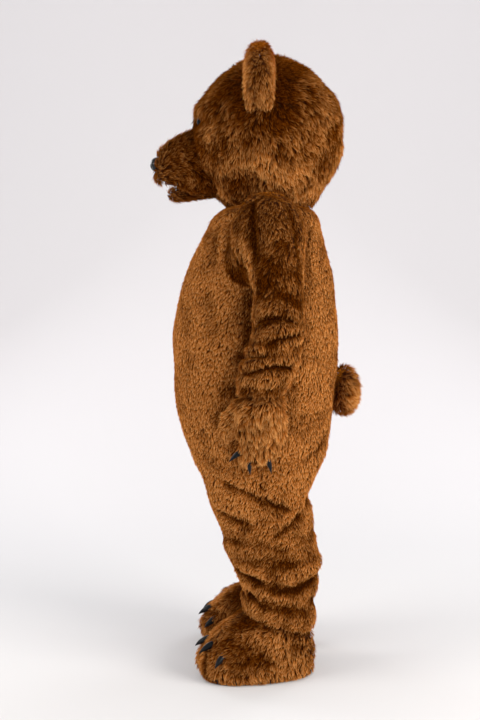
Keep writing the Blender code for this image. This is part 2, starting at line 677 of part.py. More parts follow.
def ear_base(angle, y):
    """The head's outline at this depth, angle from straight up, just clear of its fur."""
    round_off = np.sqrt(np.clip(1 - ((y - HEAD_MIDDLE) / HEAD_HALF_DEPTH) ** 2, 0, 1))
    x = HEAD_HALF_WIDTH * np.sin(angle) * round_off
    z = HEAD_HEIGHT + HEAD_UP * np.cos(angle) * round_off
    return x, z


def ear_face(sense, angle, around, bulge):
    """One face of the ear, from its foot to its rim: bulge is its share of the thickness."""
    turn = around * EAR_RIM * np.pi / 2
    rise = np.sin(turn) ** (2 / EAR_ROUND)
    round_rim = np.cos(turn) ** (2 / EAR_ROUND)
    share = (angle - EAR_FROM) / (EAR_TO - EAR_FROM)
    arch = np.sqrt(1 - (EAR_OUTLINE * (2 * share - 1)) ** 2)
    thick = EAR_HALF_THICK * bulge * round_rim * (EAR_THIN + (1 - EAR_THIN) * arch)
    y = EAR_MIDDLE + sense * (SEAM_GAP / 2 + thick)
    x, z = ear_base(angle, y)
    length = STAND_CLEAR + EAR_TALL * arch * rise
    return np.stack([x + length * np.sin(angle), y, z + length * np.cos(angle)], axis=-1)


def add_ear(side_name, side):
    around, angle = np.meshgrid(np.linspace(0, 1, EAR_ROWS),
                                np.linspace(EAR_FROM, EAR_TO, EAR_COLUMNS), indexing="ij")
    for face_name, sense in (("front", -1), ("back", 1)):
        padded = ear_face(sense, angle, around, 1)
        seam = ear_face(sense, angle, around, 0)
        solid_between("ear_" + side_name + "_" + face_name, padded, seam, BROWN_FUR, side=side)


for side_name, side in SIDES.items():
    add_ear(side_name, side)


# Mitts: a back and a palm each, with a thumb on the front and three claws at the finger ends.
# The cuff is narrow and goes up inside the sleeve.

MITT = columns(
    "along x y z half_thick half_wide",
    [
        (0.00, 0.3530, 0.020, 0.945, 0.042, 0.044),
        (0.12, 0.3530, 0.014, 0.912, 0.042, 0.046),
        (0.16, 0.3530, 0.013, 0.898, 0.044, 0.049),
        (0.20, 0.3530, 0.011, 0.888, 0.058, 0.064),
        (0.32, 0.3540, 0.008, 0.862, 0.064, 0.077),
        (0.48, 0.3550, 0.011, 0.818, 0.062, 0.075),
        (0.66, 0.3560, 0.010, 0.765, 0.056, 0.070),
        (0.78, 0.3560, 0.005, 0.731, 0.047, 0.060),
        (0.88, 0.3560, 0.000, 0.708, 0.035, 0.046),
        (0.95, 0.3560, -0.002, 0.697, 0.022, 0.028),
        (1.00, 0.3560, -0.003, 0.694, 0.000, 0.000),
    ],
)
MITT_ROWS = (0, 0.12, 0.16, 0.2, 0.28, 0.40, 0.54, 0.67, 0.78, 0.88, 0.95, 1)
MITT_COLUMNS = 8
MITT_ENDS = (0.01, 0.985)   # the rows between which its normals are read


def mitt(along, angle):
    """An ellipse at each row: angle 0 is the outer side, 90 degrees the back edge of the hand."""
    row = row_at(MITT, np.clip(along, 0, 1))
    x = row["x"] + row["half_thick"] * np.cos(angle)
    y = row["y"] + row["half_wide"] * np.sin(angle)
    return np.stack([x, y, row["z"]], axis=-1)


def add_mitt_part(name, side, first_angle, shift):
    """The back or the palm of a mitt, half of the way round."""
    along, angle = np.meshgrid(MITT_ROWS, first_angle + np.linspace(0, np.pi, MITT_COLUMNS),
                               indexing="ij")
    out = normal(mitt, np.clip(along, *MITT_ENDS), angle)
    outer = mitt(along, angle)
    inner = outer - FUR_WALL * out
    inner[-1] = outer[-1] + np.array([0, 0, FUR_WALL])
    inner[0, :, 2] = outer[0, :, 2]
    middle_x = row_at(MITT, along)["x"]
    sense = np.sign(shift)
    inner[..., 0] = middle_x + sense * np.maximum(sense * (inner[..., 0] - middle_x), 0)
    solid_between(name, outer, inner, BROWN_FUR, side=side, shift=(shift, 0, 0))


THUMB_BASE = (0.347, 0.828)
THUMB_TIP = (0.338, 0.790)
THUMB_HALF = (0.026, 0.052)
THUMB_FRONT = -0.106
THUMB_WALL = 0.010
THUMB_ROWS = 6
THUMB_SIDES = 12


def mitt_front(x, z):
    """How far forward the mitt is at this place."""
    along = np.linspace(1, 0, 201)
    row = row_at(MITT, np.interp(z, row_at(MITT, along)["z"], along))
    part = np.clip(1 - ((x - row["x"]) / row["half_thick"]) ** 2, 0, 1)
    return row["y"] - row["half_wide"] * np.sqrt(part)


def add_thumb(name, side):
    """The thumb: an open dome that stands on the front edge of the mitt."""
    turn = np.linspace(0, np.pi * 2, THUMB_SIDES + 1)[:-1]
    share, angle = np.meshgrid(np.linspace(0, 1, THUMB_ROWS), turn, indexing="ij")
    grids = []
    for wall in (0, THUMB_WALL):
        size = np.cos(share * np.pi / 2) ** 0.7
        forward = np.sin(share * np.pi / 2)
        half_x, half_z = THUMB_HALF[0] - wall, THUMB_HALF[1] - wall
        foot_x = THUMB_BASE[0] + half_x * np.cos(angle)
        foot_z = THUMB_BASE[1] + half_z * np.sin(angle)
        base = mitt_front(foot_x, foot_z) - STAND_CLEAR
        centre_x = THUMB_BASE[0] + (THUMB_TIP[0] - THUMB_BASE[0]) * forward
        centre_z = THUMB_BASE[1] + (THUMB_TIP[1] - THUMB_BASE[1]) * forward
        x = centre_x + half_x * np.cos(angle) * size
        z = centre_z + half_z * np.sin(angle) * size
        y = base + (THUMB_FRONT + wall - base) * forward
        grids.append(np.stack([x, y, z], axis=-1))
    solid_between(name, grids[0], grids[1], BROWN_FUR, loop=True, side=side)


CLAW_ROWS = 5
CLAW_SIDES = 7
CLAW_DEPTH = 1.1            # a claw's depth over its width
CLAW_TAPER = 1.7            # how late a claw thins: 1 is a straight cone


def claw_mesh(name, shape, foot):
    """A hooked cone along its own +Z: a tapering tube on an arc that turns towards its own -Y.

    shape is its length, radius and bend. Its first ring lies in the plane that foot is square to.
    """
    length, radius, bend = shape
    share = np.linspace(0, 1, CLAW_ROWS)
    turned = share * bend
    radius_of_arc = length / bend
    line_z = radius_of_arc * np.sin(turned)
    line_y = -radius_of_arc * (1 - np.cos(turned))
    turn = np.linspace(0, 2 * np.pi, CLAW_SIDES + 1)[:-1]
    size = radius * (1 - share ** CLAW_TAPER)
    x = size[:, None] * np.cos(turn)
    across = size[:, None] * CLAW_DEPTH * np.sin(turn)
    y = line_y[:, None] + across * np.cos(turned)[:, None]
    z = line_z[:, None] + across * np.sin(turned)[:, None]
    slant = -(x[0] * foot[0] + y[0] * foot[1]) / foot[2]
    z = z + slant * (1 - share[:, None]) ** 2
    points = np.stack([x, y, z], axis=-1)
    faces = grid_faces(CLAW_ROWS, CLAW_SIDES, 0, True) + [tuple(range(CLAW_SIDES))]
    return closed_mesh(name, points.reshape(-1, 3), faces)


def add_claw(name, shape, surface_point, out, direction, side):
    """A claw whose foot lies on the pile, along direction, hooked downwards."""
    mirrored = np.array([side, 1, 1])
    aim = Vector(np.array(direction) * mirrored).normalized()
    back = Vector((0, 0, 1))
    back = (back - aim * back.dot(aim)).normalized()
    turned = Matrix([back.cross(aim), back, aim]).transposed()
    out = Vector(out * mirrored)
    claw = add_object(name, claw_mesh(name, shape, turned.transposed() @ out), BLACK_PLASTIC)
    claw.location = Vector(surface_point * mirrored) + out * SEAM_GAP * 2
    claw.rotation_euler = turned.to_euler()


# Where each claw is: its row and angle on the mitt, and the way that it points.
HAND_CLAWS = columns(
    "along angle out forward down",
    [
        (0.80, -78, 0.10, 0.95, 0.50),
        (0.925, -30, 0.10, 0.05, 1.00),
        (0.90, 58, 0.05, -0.50, 0.90),
    ],
)
HAND_CLAW_SHAPE = (0.034, 0.007, np.radians(18))


def add_hand_claws(side_name, side):
    for number, row in enumerate(zip(*HAND_CLAWS.values()), 1):
        along, angle, out_part, forward, down = row
        place = mitt(along, np.radians(angle))
        out = normal(mitt, along, np.radians(angle))
        add_claw(f"mitt_{side_name}_claw_{number}", HAND_CLAW_SHAPE, place, out,
                 (out_part, -forward, -down), side)


for side_name, side in SIDES.items():
    add_mitt_part(f"mitt_{side_name}_back", side, -np.pi / 2, SEAM_GAP / 2)
    add_mitt_part(f"mitt_{side_name}_palm", side, np.pi / 2, -SEAM_GAP / 2)
    add_thumb(f"mitt_{side_name}_thumb", side)
    add_hand_claws(side_name, side)


# Boots: an upper and a flat sole each, with four claws. The shaft goes up inside the trouser leg.
# The rows are in the boot's own line, which turns outwards from the heel.

BOOT = columns(
    "height half_width front back dip square",
    [
        (0.0125, 0.100, -0.165, 0.181, 0.000, 2.5),
        (0.030, 0.104, -0.174, 0.184, 0.000, 2.5),
        (0.055, 0.107, -0.178, 0.185, 0.000, 2.5),
        (0.085, 0.107, -0.170, 0.185, 0.002, 2.4),
        (0.110, 0.106, -0.152, 0.184, 0.006, 2.3),
        (0.130, 0.103, -0.128, 0.182, 0.012, 2.2),
        (0.150, 0.098, -0.092, 0.176, 0.022, 2.1),
        (0.164, 0.090, -0.052, 0.168, 0.028, 2.0),
        (0.178, 0.083, -0.022, 0.160, 0.028, 2.0),
        (0.215, 0.081, -0.016, 0.158, 0.028, 2.0),
        (0.260, 0.079, -0.014, 0.156, 0.028, 2.0),
    ],
)
BOOT_CREASES = columns(
    "from_height from_angle to_height to_angle width height reach",
    [
        (0.020, -68, 0.115, -72, 0.012, -0.007, 0.13),   # between the toes
        (0.020, -90, 0.120, -90, 0.012, -0.008, 0.13),
        (0.020, -112, 0.115, -108, 0.012, -0.007, 0.13),
        (0.100, 150, 0.112, 30, 0.020, -0.005, 0.11),    # crease above the heel
    ],
)
BOOT_ROWS = (0.0125, 0.034, 0.060, 0.085, 0.108, 0.128, 0.147, 0.162, 0.178, 0.215, 0.260)
BOOT_SIDES = 20
TOE_OUT = np.radians(12)
BOOT_AXIS = np.array([0.137, 0.075, 0])
TOE_SPREAD = 0.10           # how much wider the foot is at its toes
TOES_CLOSER = 0.28          # how much closer together the columns are round the toes
FIRST_TURN = 0.001          # keeps the first column off the corner's own power curve
INSTEP_RISE = 0.001         # the least that each inner row lies above the last
SOLE_INSET = 0.003
SOLE_ROUNDING = 0.003
SOLE_TOP = 0.012


def boot(height, angle):
    """A rounded oblong at each height, wider at the toes; angle 0 is the outer side."""
    row = row_at(BOOT, height)
    power = 2 / row["square"]
    cosine, sine = np.cos(angle), np.sin(angle)
    x = row["half_width"] * np.sign(cosine) * np.abs(cosine) ** power * (1 - TOE_SPREAD * sine)
    y = (row["front"] + row["back"]) / 2 - BOOT_AXIS[1]
    y = y + (row["back"] - row["front"]) / 2 * np.sign(sine) * np.abs(sine) ** power
    z = height - row["dip"] * sine
    turned_x = x * np.cos(TOE_OUT) - y * np.sin(TOE_OUT)
    turned_y = x * np.sin(TOE_OUT) + y * np.cos(TOE_OUT)
    return np.stack([turned_x, turned_y, z], axis=-1) + BOOT_AXIS


def boot_angles():
    """Columns of the boot, closer together round the toes."""
    even = np.linspace(0, 2 * np.pi, BOOT_SIDES + 1)[:-1] + FIRST_TURN
    return even - TOES_CLOSER * np.cos(even)


def add_boot_upper(name, side):
    height, angle = np.meshgrid(BOOT_ROWS, boot_angles(), indexing="ij")
    outer, inner = offset_grids(boot, height, angle, FUR_WALL, -1, BOOT_CREASES)
    outer[0, :, 2] = inner[0, :, 2] = BOOT_ROWS[0]
    lowest = BOOT_ROWS[0] + INSTEP_RISE * np.arange(len(BOOT_ROWS))
    inner[..., 2] = np.maximum(inner[..., 2], lowest[:, None])
    inner[0, :, 2] = BOOT_ROWS[0]
    solid_between(name, outer, inner, BROWN_FUR, loop=True, side=side)


def add_sole(name, side):
    """A flat foam rubber plate under the upper, with a slightly rounded lower edge."""
    rim = boot(np.full(BOOT_SIDES, BOOT_ROWS[0]), boot_angles())
    middle = rim.mean(axis=0)
    reach = np.linalg.norm(rim - middle, axis=1, keepdims=True)
    rings = []
    lower, upper = SOLE_INSET + SOLE_ROUNDING, SOLE_INSET
    for inset, z in ((lower, 0), (upper, SOLE_ROUNDING), (upper, SOLE_TOP)):
        ring = middle + (rim - middle) * (1 - inset / reach)
        ring[:, 2] = z
        rings.append(ring)
    points = np.concatenate(rings)
    faces = grid_faces(len(rings), BOOT_SIDES, 0, True)
    faces.append(tuple(range(BOOT_SIDES)))
    faces.append(tuple(range(2 * BOOT_SIDES, 3 * BOOT_SIDES)))
    points[:, 0] *= side
    add_object(name, closed_mesh(name, points, faces), BLACK_RUBBER)


# Where each toe's claw is on the boot, and how far it points down.
FOOT_CLAWS = columns(
    "height angle turn down",
    [
        (0.086, -135, -34, 0.25),
        (0.104, -102, -11, 0.14),
        (0.104, -78, 11, 0.14),
        (0.084, -45, 36, 0.30),
    ],
)
FOOT_CLAW_SHAPE = (0.040, 0.009, np.radians(35))


def add_foot_claws(side_name, side):
    for number, row in enumerate(zip(*FOOT_CLAWS.values()), 1):
        height, angle, turn, down = row
        place = boot(height, np.radians(angle))
        out = -normal(boot, height, np.radians(angle))
        heading = np.radians(turn) + TOE_OUT
        direction = (np.sin(heading), -np.cos(heading), -down)
        add_claw(f"boot_{side_name}_claw_{number}", FOOT_CLAW_SHAPE, place, out, direction, side)


for side_name, side in SIDES.items():
    add_boot_upper(f"boot_{side_name}_upper", side)
    add_sole(f"boot_{side_name}_sole", side)
    add_foot_claws(side_name, side)
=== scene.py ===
"""A bear mascot costume in long-pile fur: its visible cloth, fur, claws and zip, around the solids.

Metres, +Z up. The bear faces -Y, its left is +X, and the origin is between the wearer's shoulders.
Heights in the tables are above the soles. Each cloth piece is a thin backing with its pile on it.
"""

import bmesh
import bpy
import numpy as np
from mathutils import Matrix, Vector


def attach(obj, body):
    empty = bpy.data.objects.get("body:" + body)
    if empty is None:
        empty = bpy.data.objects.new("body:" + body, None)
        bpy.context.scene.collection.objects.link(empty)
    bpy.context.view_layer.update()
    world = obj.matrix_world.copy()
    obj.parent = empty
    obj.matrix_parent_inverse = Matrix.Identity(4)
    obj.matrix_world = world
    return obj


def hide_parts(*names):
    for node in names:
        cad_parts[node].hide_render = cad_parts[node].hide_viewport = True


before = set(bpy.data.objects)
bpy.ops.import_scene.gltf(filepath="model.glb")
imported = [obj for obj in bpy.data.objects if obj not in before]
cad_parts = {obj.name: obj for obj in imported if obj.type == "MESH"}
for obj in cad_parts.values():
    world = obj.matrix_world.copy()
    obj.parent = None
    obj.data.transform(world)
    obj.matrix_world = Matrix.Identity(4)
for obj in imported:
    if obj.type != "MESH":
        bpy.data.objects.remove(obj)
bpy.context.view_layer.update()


# The camera stands at the bear's left side, a little under the shoulders, and looks down slightly.
# The floor is a pale studio sweep that runs up behind the bear, lit by large soft boxes.

SHOULDER_HEIGHT = 1.44
CAMERA_PLACE = (3.735, -0.046, 1.342 - SHOULDER_HEIGHT)
CAMERA_DOWN = 5.9
LENS_MM = 60
SENSOR_MM = 36
SWEEP_HALF_WIDTH = 9.0
SWEEP_FRONT, SWEEP_REAR, SWEEP_TOP = 7.0, -1.4, 5.5
SWEEP_RADIUS = 2.8
SWEEP_COLOUR = "#e9e7eb"
FLOOR_COLOUR = "#dfdfe2"    # the paper is greyer on the floor than on the wall
FLOOR_FROM, FLOOR_TO = -3.2, -1.0
ROOM_LIGHT = 0.57
# name, size (m), place (m), the point it is turned to (m), power (W), colour
LIGHTS = (
    ("rear side soft box", 2.1, (2.1, 2.7, 0.25), (0, 0, -0.3), 128, "#fff9f0"),
    ("front side soft box", 2.1, (1.3, -3.1, 0.4), (0, 0, -0.3), 74, "#fff9f0"),
    ("far left soft box", 1.2, (-2.2, -2.1, 0.7), (0, 0, -0.2), 22, "#ffffff"),
    ("far right soft box", 1.2, (-2.2, 2.1, 0.7), (0, 0, -0.2), 22, "#ffffff"),
    ("background box, left", 1.6, (-0.8, -4.2, 1.2), (-4.0, -0.6, 0.0), 7, "#fffcfd"),
    ("background box, right", 1.6, (-0.8, 4.2, 1.2), (-4.0, 0.6, 0.0), 7, "#fffcfd"),
)


def linear(code):
    """An sRGB hex colour as linear red, green and blue, with an alpha of 1."""
    srgb = np.array([int(code[i:i + 2], 16) for i in (1, 3, 5)]) / 255
    light = np.where(srgb <= 0.04045, srgb / 12.92, ((srgb + 0.055) / 1.055) ** 2.4)
    return (*light.tolist(), 1)


def connect(node, **links):
    """Link or set each named input of a node; _6 is input number 6."""
    for key, value in links.items():
        socket = node.inputs[int(key[1:]) if key[1:].isdigit() else key.replace("_", " ")]
        if isinstance(value, bpy.types.NodeSocket):
            node.id_data.links.new(value, socket)
        else:
            socket.default_value = value


def add_node(material, kind, settings=None, **links):
    """A node with its settings and its inputs."""
    node = material.node_tree.nodes.new(kind)
    for key, value in (settings or {}).items():
        setattr(node, key, value)
    connect(node, **links)
    return node


def new_material(name, **fixed):
    """A Principled material with its fixed values set on the shader's own sockets."""
    material = bpy.data.materials.new(name)
    material.use_nodes = True
    shader = material.node_tree.nodes["Principled BSDF"]
    connect(shader, **fixed)
    return material, shader


def add_object(name, data, material=None):
    """An object in the scene, with its material where it has one."""
    made = bpy.data.objects.new(name, data)
    if material:
        data.materials.append(material)
    bpy.context.collection.objects.link(made)
    return made


def numpy_mesh(name, points, faces):
    """A mesh of points and of faces that all have as many corners."""
    mesh = bpy.data.meshes.new(name)
    mesh.vertices.add(points.size // 3)
    mesh.vertices.foreach_set("co", np.ascontiguousarray(points, np.float32).ravel())
    mesh.loops.add(faces.size)
    mesh.loops.foreach_set("vertex_index", np.ascontiguousarray(faces, np.int32).ravel())
    mesh.polygons.add(len(faces))
    starts = np.arange(len(faces), dtype=np.int32) * faces.shape[1]
    mesh.polygons.foreach_set("loop_start", starts)
    mesh.update(calc_edges=True)
    return mesh


def xyz(x, y, z):
    """Points of a grid from their three parts."""
    return np.stack(np.broadcast_arrays(x, y, z), axis=-1)


def grid_quads(points):
    """Quads between the points of a grid, numbered row by row."""
    number = np.arange(points.size // 3).reshape(points.shape[:2])
    quads = np.stack([number[:-1, :-1], number[1:, :-1], number[1:, 1:], number[:-1, 1:]], axis=-1)
    return quads.reshape(-1, 4)


camera = add_object("camera", bpy.data.cameras.new("camera"))
camera.data.lens = LENS_MM
camera.data.sensor_width = SENSOR_MM
camera.location = CAMERA_PLACE
camera.rotation_euler = (np.radians(90 - CAMERA_DOWN), 0, np.radians(90))
bpy.context.scene.camera = camera


def sweep_points():
    """The studio sweep: a profile of floor, quarter circle and wall, carried along Y."""
    bend = np.linspace(0, np.pi / 2, 24)
    x = np.concatenate([[SWEEP_FRONT], SWEEP_REAR - SWEEP_RADIUS * np.sin(bend),
                        [SWEEP_REAR - SWEEP_RADIUS]])
    z = np.concatenate([[0], SWEEP_RADIUS * (1 - np.cos(bend)), [SWEEP_TOP]]) - SHOULDER_HEIGHT
    return xyz(x[:, None], np.array([-SWEEP_HALF_WIDTH, SWEEP_HALF_WIDTH]), z[:, None])


paper, paper_shader = new_material("matt white background paper", Roughness=0.9)
paper_place = add_node(paper, "ShaderNodeTexCoord").outputs["Object"]
paper_x = add_node(paper, "ShaderNodeSeparateXYZ", Vector=paper_place).outputs["X"]
paper_share = add_node(paper, "ShaderNodeMapRange", Value=paper_x, From_Min=FLOOR_FROM,
                       From_Max=FLOOR_TO).outputs["Result"]
connect(paper_shader, Base_Color=add_node(
    paper, "ShaderNodeMix", {"data_type": "RGBA"}, _0=paper_share, _6=linear(SWEEP_COLOUR),
    _7=linear(FLOOR_COLOUR)).outputs[2])
sweep_grid = sweep_points()
sweep_mesh = numpy_mesh("sweep", sweep_grid, grid_quads(sweep_grid))
sweep_mesh.shade_smooth()
add_object("studio_sweep", sweep_mesh, paper)

bpy.context.scene.view_settings.view_transform = "Standard"
for light_name, light_size, light_place, light_aim, light_power, light_colour in LIGHTS:
    lamp = bpy.data.lights.new(light_name, "AREA")
    lamp.size = light_size
    lamp.energy = light_power
    lamp.color = linear(light_colour)[:3]
    holder = add_object(light_name, lamp)
    holder.location = light_place
    aim = Vector(light_aim) - Vector(light_place)
    holder.rotation_euler = aim.to_track_quat("-Z", "Y").to_euler()

room = bpy.data.worlds.new("studio")
room.use_nodes = True
connect(room.node_tree.nodes["Background"], Color=linear("#ffffff"), Strength=ROOM_LIGHT)
bpy.context.scene.world = room


# The suit's front and back panels: long-pile acrylic fur fabric, cut collar to trouser hem and sewn
# at the centre, sides and inseams. The pile is brushed down and a little forward, in small locks.

SEAM_GAP = 0.0003
BACKING_WALL = 0.0016
SLOPE_STEP = 1e-4
NEAR_ZERO = 1e-12
SIDES = {"left": 1, "right": -1}

# The pile: blades spacing apart, length long and width wide. A blade rises from the backing at
# stand degrees and bends over to lay degrees. Blades gather by that share into locks of size lock,
# turned by about twist degrees. depth is how far the backing lies under the pile's outside. tone is
# how light the piece is, and hollow how much painted shade it gets for each millimetre that
# a point lies under its surroundings; ridges get painted highlight at the same rate.
SUIT_PILE = dict(spacing=0.0032, length=0.016, width=0.0027, stand=31, lay=8, lock=0.007,
                 gather=0.15, twist=8, depth=0.0060, tone=0.77, hollow=0.14)
BLADE_MIDDLE = 0.45         # where a blade bends, as a share of its length
BLADE_SHINE = 0.28          # how much of a blade's shading follows its own face, not the cloth
LOCK_TONE, BLADE_TONE = 0.09, 0.13      # how unlike the locks and the blades in a lock are
TONE_ENDS = (0.02, 0.98)
RIGHT_SEED = 500            # the right side's pile is drawn from other random numbers
# Painted fold shading: its smoothing steps, and the depth and height in metres where its painted
# shade and highlight stop
HOLLOW_STEPS = 14
HOLLOW_MOST = 0.0045
RIDGE_MOST = 0.0018
FOLD = "u0 v0 u1 v1 width height reach"
FOLD_ENDS = 0.35            # the share of its height that a fold has at its ends

FUR_ROOT = "#0e0400"
FUR_DARK = ("#1c0a00", "#371400", "#743600")       # the darkest locks, from root to tip
FUR_LIGHT = ("#562606", "#a96228", "#f4b56c")      # the lightest
FUR_STOPS = (0.25, 0.62)
SHEEN_COLOUR = "#cc761c"
BACKING_COLOURS = ("#261002", "#512907")


def columns(names, rows):
    """A table as a dictionary of whole columns, each called by its name."""
    return dict(zip(names.split(), np.array(rows, float).T))


def curve(at, knots, values):
    """A smooth curve through the rows: cubic stretches with the slopes of the rows around them."""
    slopes = np.gradient(values, knots)
    first = np.clip(np.searchsorted(knots, at) - 1, 0, len(knots) - 2)
    span = knots[first + 1] - knots[first]
    t = np.clip((at - knots[first]) / span, 0, 1)
    rise = values[first + 1] - values[first]
    start, end = slopes[first] * span, slopes[first + 1] * span
    bend = start + end - 2 * rise
    return values[first] + t * (start + t * (rise - start - bend + t * bend))


def row_at(table, at):
    """Every column of a table, read at these places of its first column."""
    knots = next(iter(table.values()))
    return {name: curve(at, knots, values) for name, values in table.items()}


def mix(start, end, share):
    """The value at this share of the way."""
    return start + (end - start) * share


def swing(low, high, part):
    """From low, where part is -1, to high, where it is 1."""
    return (low + high) / 2 + (high - low) / 2 * part


def ramp(value, start, over):
    """0 at start, rising evenly to 1 over this length, which may be negative."""
    return np.clip((value - start) / over, 0, 1)


def bell(value, width):
    """1 where the value is 0, and falling smoothly to 0 past this width."""
    return np.exp(-(value / width) ** 2)


def bell_round(degrees, centre, width):
    """A bell of the angle from centre, the short way round."""
    return bell((degrees - centre + 180) % 360 - 180, width)


def grid(first, last, rows, start, end, cols):
    """Two parameters on a grid: one runs down the rows and the other along the columns."""
    return np.meshgrid(np.linspace(first, last, rows), np.linspace(start, end, cols), indexing="ij")


def fold_height(table, u, v):
    """Ridges and troughs, each along a line from (u0, v0) to (u1, v1), with tapering ends.

    v is an angle: reach, the radius that it turns on, makes it a length like u.
    """
    total = np.zeros(np.shape(u))
    for u0, v0, u1, v1, width, height, reach in zip(*table.values()):
        along = np.array([u1 - u0, np.radians(v1 - v0) * reach])
        length = np.linalg.norm(along)
        along = along / length
        du = u - u0
        dv = ((v - np.radians(v0) + np.pi) % (2 * np.pi) - np.pi) * reach
        place = (du * along[0] + dv * along[1]) / length
        off = (du * along[1] - dv * along[0]) / width
        past_end = np.maximum(np.abs(place - 0.5) - 0.5, 0) * length / width
        inside = np.clip(1 - (2 * place - 1) ** 2, 0, 1) ** 0.5
        share = FOLD_ENDS + (1 - FOLD_ENDS) * inside
        total = total + height * share * np.exp(-off ** 2 - past_end ** 2)
    return total


def ripple(points, size, seed):
    """Smooth random numbers of about 1, from ten plane waves of about this length in metres."""
    random = np.random.default_rng(seed)
    waves = random.normal(size=(10, 3))
    waves *= 2 * np.pi / size / np.linalg.norm(waves, axis=1, keepdims=True)
    waves *= random.uniform(0.6, 1.6, (10, 1))
    phases = random.uniform(0, 2 * np.pi, 10)
    return np.sin(points @ waves.T + phases).sum(axis=-1) / np.sqrt(5)


def unit(vectors):
    """Vectors of length 1 with the same directions."""
    return vectors / np.maximum(np.linalg.norm(vectors, axis=-1, keepdims=True), NEAR_ZERO)


def outward(surface, u, v, sense):
    """Unit normals of a surface from its slopes; sense is 1 or -1 and turns them outwards."""
    across_u = surface(u + SLOPE_STEP, v) - surface(u - SLOPE_STEP, v)
    across_v = surface(u, v + SLOPE_STEP) - surface(u, v - SLOPE_STEP)
    return sense * unit(np.cross(across_u, across_v))


def grid_normals(points, away):
    """Unit normals of a folded grid, from its rows and columns, on the side that away points to."""
    out = np.cross(np.gradient(points, axis=0), np.gradient(points, axis=1))
    size = np.linalg.norm(out, axis=-1, keepdims=True)
    out = out / np.maximum(size, NEAR_ZERO) * np.sign((out * away).sum(axis=-1))[..., None]
    return np.where(size > 1e-9, out, away)


def hollow_tone(points, away, look):
    """Painted shade in a grid's hollows and painted highlights on its ridges, at each point.

    A point's depth is how far it lies under the mean of the points around it.
    """
    mean = points
    for _ in range(HOLLOW_STEPS):
        wide = np.pad(mean, ((1, 1), (1, 1), (0, 0)), mode="edge")
        mean = (wide[:-2, 1:-1] + wide[2:, 1:-1] + wide[1:-1, :-2] + wide[1:-1, 2:] + mean) / 5
    under = ((mean - points) * grid_normals(points, away)).sum(axis=-1)
    under = np.clip(under - np.median(under), -RIDGE_MOST, HOLLOW_MOST)
    return -look["hollow"] * under * 1000


def patterned_material(name, kind, sizes, output, colours, bump, stretch=(1, 1, 1), settings=None,
                       **fixed):
    """A pattern in Object coordinates mixes two colours and lifts bumps (strength, height)."""
    material, shader = new_material(name, **fixed)
    place = add_node(material, "ShaderNodeTexCoord").outputs["Object"]
    place = add_node(material, "ShaderNodeMapping", Vector=place, Scale=stretch).outputs[0]
    pattern = add_node(material, kind, settings, Vector=place, **sizes).outputs[output]
    colour = add_node(material, "ShaderNodeMix", {"data_type": "RGBA"}, _0=pattern,
                      _6=linear(colours[0]), _7=linear(colours[1]))
    lift = add_node(material, "ShaderNodeBump", Height=pattern, Strength=bump[0], Distance=bump[1])
    connect(shader, Base_Color=colour.outputs[2], Normal=lift.outputs[0])
    return material


def pile_material(name):
    """Acrylic pile, soft and slightly silky: U holds the lock's tone, and V runs root to tip."""
    material, shader = new_material(name, Roughness=0.6, Sheen_Weight=0.8, Sheen_Roughness=0.3,
                                    Sheen_Tint=linear(SHEEN_COLOUR), Specular_IOR_Level=0.0)
    uv = add_node(material, "ShaderNodeUVMap", {"uv_map": "OFBake"}).outputs[0]
    split = add_node(material, "ShaderNodeSeparateXYZ", Vector=uv)
    ramps = []
    for colours in (FUR_DARK, FUR_LIGHT):
        stops = add_node(material, "ShaderNodeValToRGB", Fac=split.outputs["Y"])
        stops.color_ramp.elements[0].color = linear(FUR_ROOT)
        stops.color_ramp.elements[1].color = linear(colours[2])
        for place, colour in zip(FUR_STOPS, colours[:2]):
            stops.color_ramp.elements.new(place).color = linear(colour)
        ramps.append(stops.outputs["Color"])
    connect(shader, Base_Color=add_node(material, "ShaderNodeMix", {"data_type": "RGBA"},
                                        _0=split.outputs["X"], _6=ramps[0], _7=ramps[1]).outputs[2])
    return material


# The backing is knitted, with the short undercoat that shows between locks: dark, in 3 mm streaks.
BACKING = patterned_material(
    "knitted fur backing, brown acrylic", "ShaderNodeTexNoise", {"Scale": 1000 / 3, "Detail": 3.0},
    "Fac", BACKING_COLOURS, (0.6, 0.002), (1, 1, 0.3), Roughness=0.95, Specular_IOR_Level=0.1)
PILE = pile_material("long acrylic pile, brown")


def closed_mesh(name, points, faces):
    """A smooth closed mesh, with its doubles merged and its faces turned outwards."""
    mesh = numpy_mesh(name, points, faces)
    work = bmesh.new()
    work.from_mesh(mesh)
    bmesh.ops.remove_doubles(work, verts=work.verts, dist=1e-6)
    bmesh.ops.recalc_face_normals(work, faces=work.faces)
    work.to_mesh(mesh)
    work.free()
    mesh.shade_smooth()
    return mesh


def backing_object(name, points, normals, side, material=BACKING):
    """The cloth under the pile: a thin closed wall between the grid and the same grid moved in."""
    count = points.size // 3
    number = np.arange(count).reshape(points.shape[:2])
    quads = grid_quads(points)
    faces = [quads, quads[:, ::-1] + count]
    for edge in (number[0], number[-1], number[:, 0], number[:, -1]):
        faces.append(np.stack([edge[:-1], edge[1:], edge[1:] + count, edge[:-1] + count], axis=-1))
    both = np.stack([points, points - normals * BACKING_WALL]) * (side, 1, 1)
    return add_object(name, closed_mesh(name, both, np.concatenate(faces)), material)


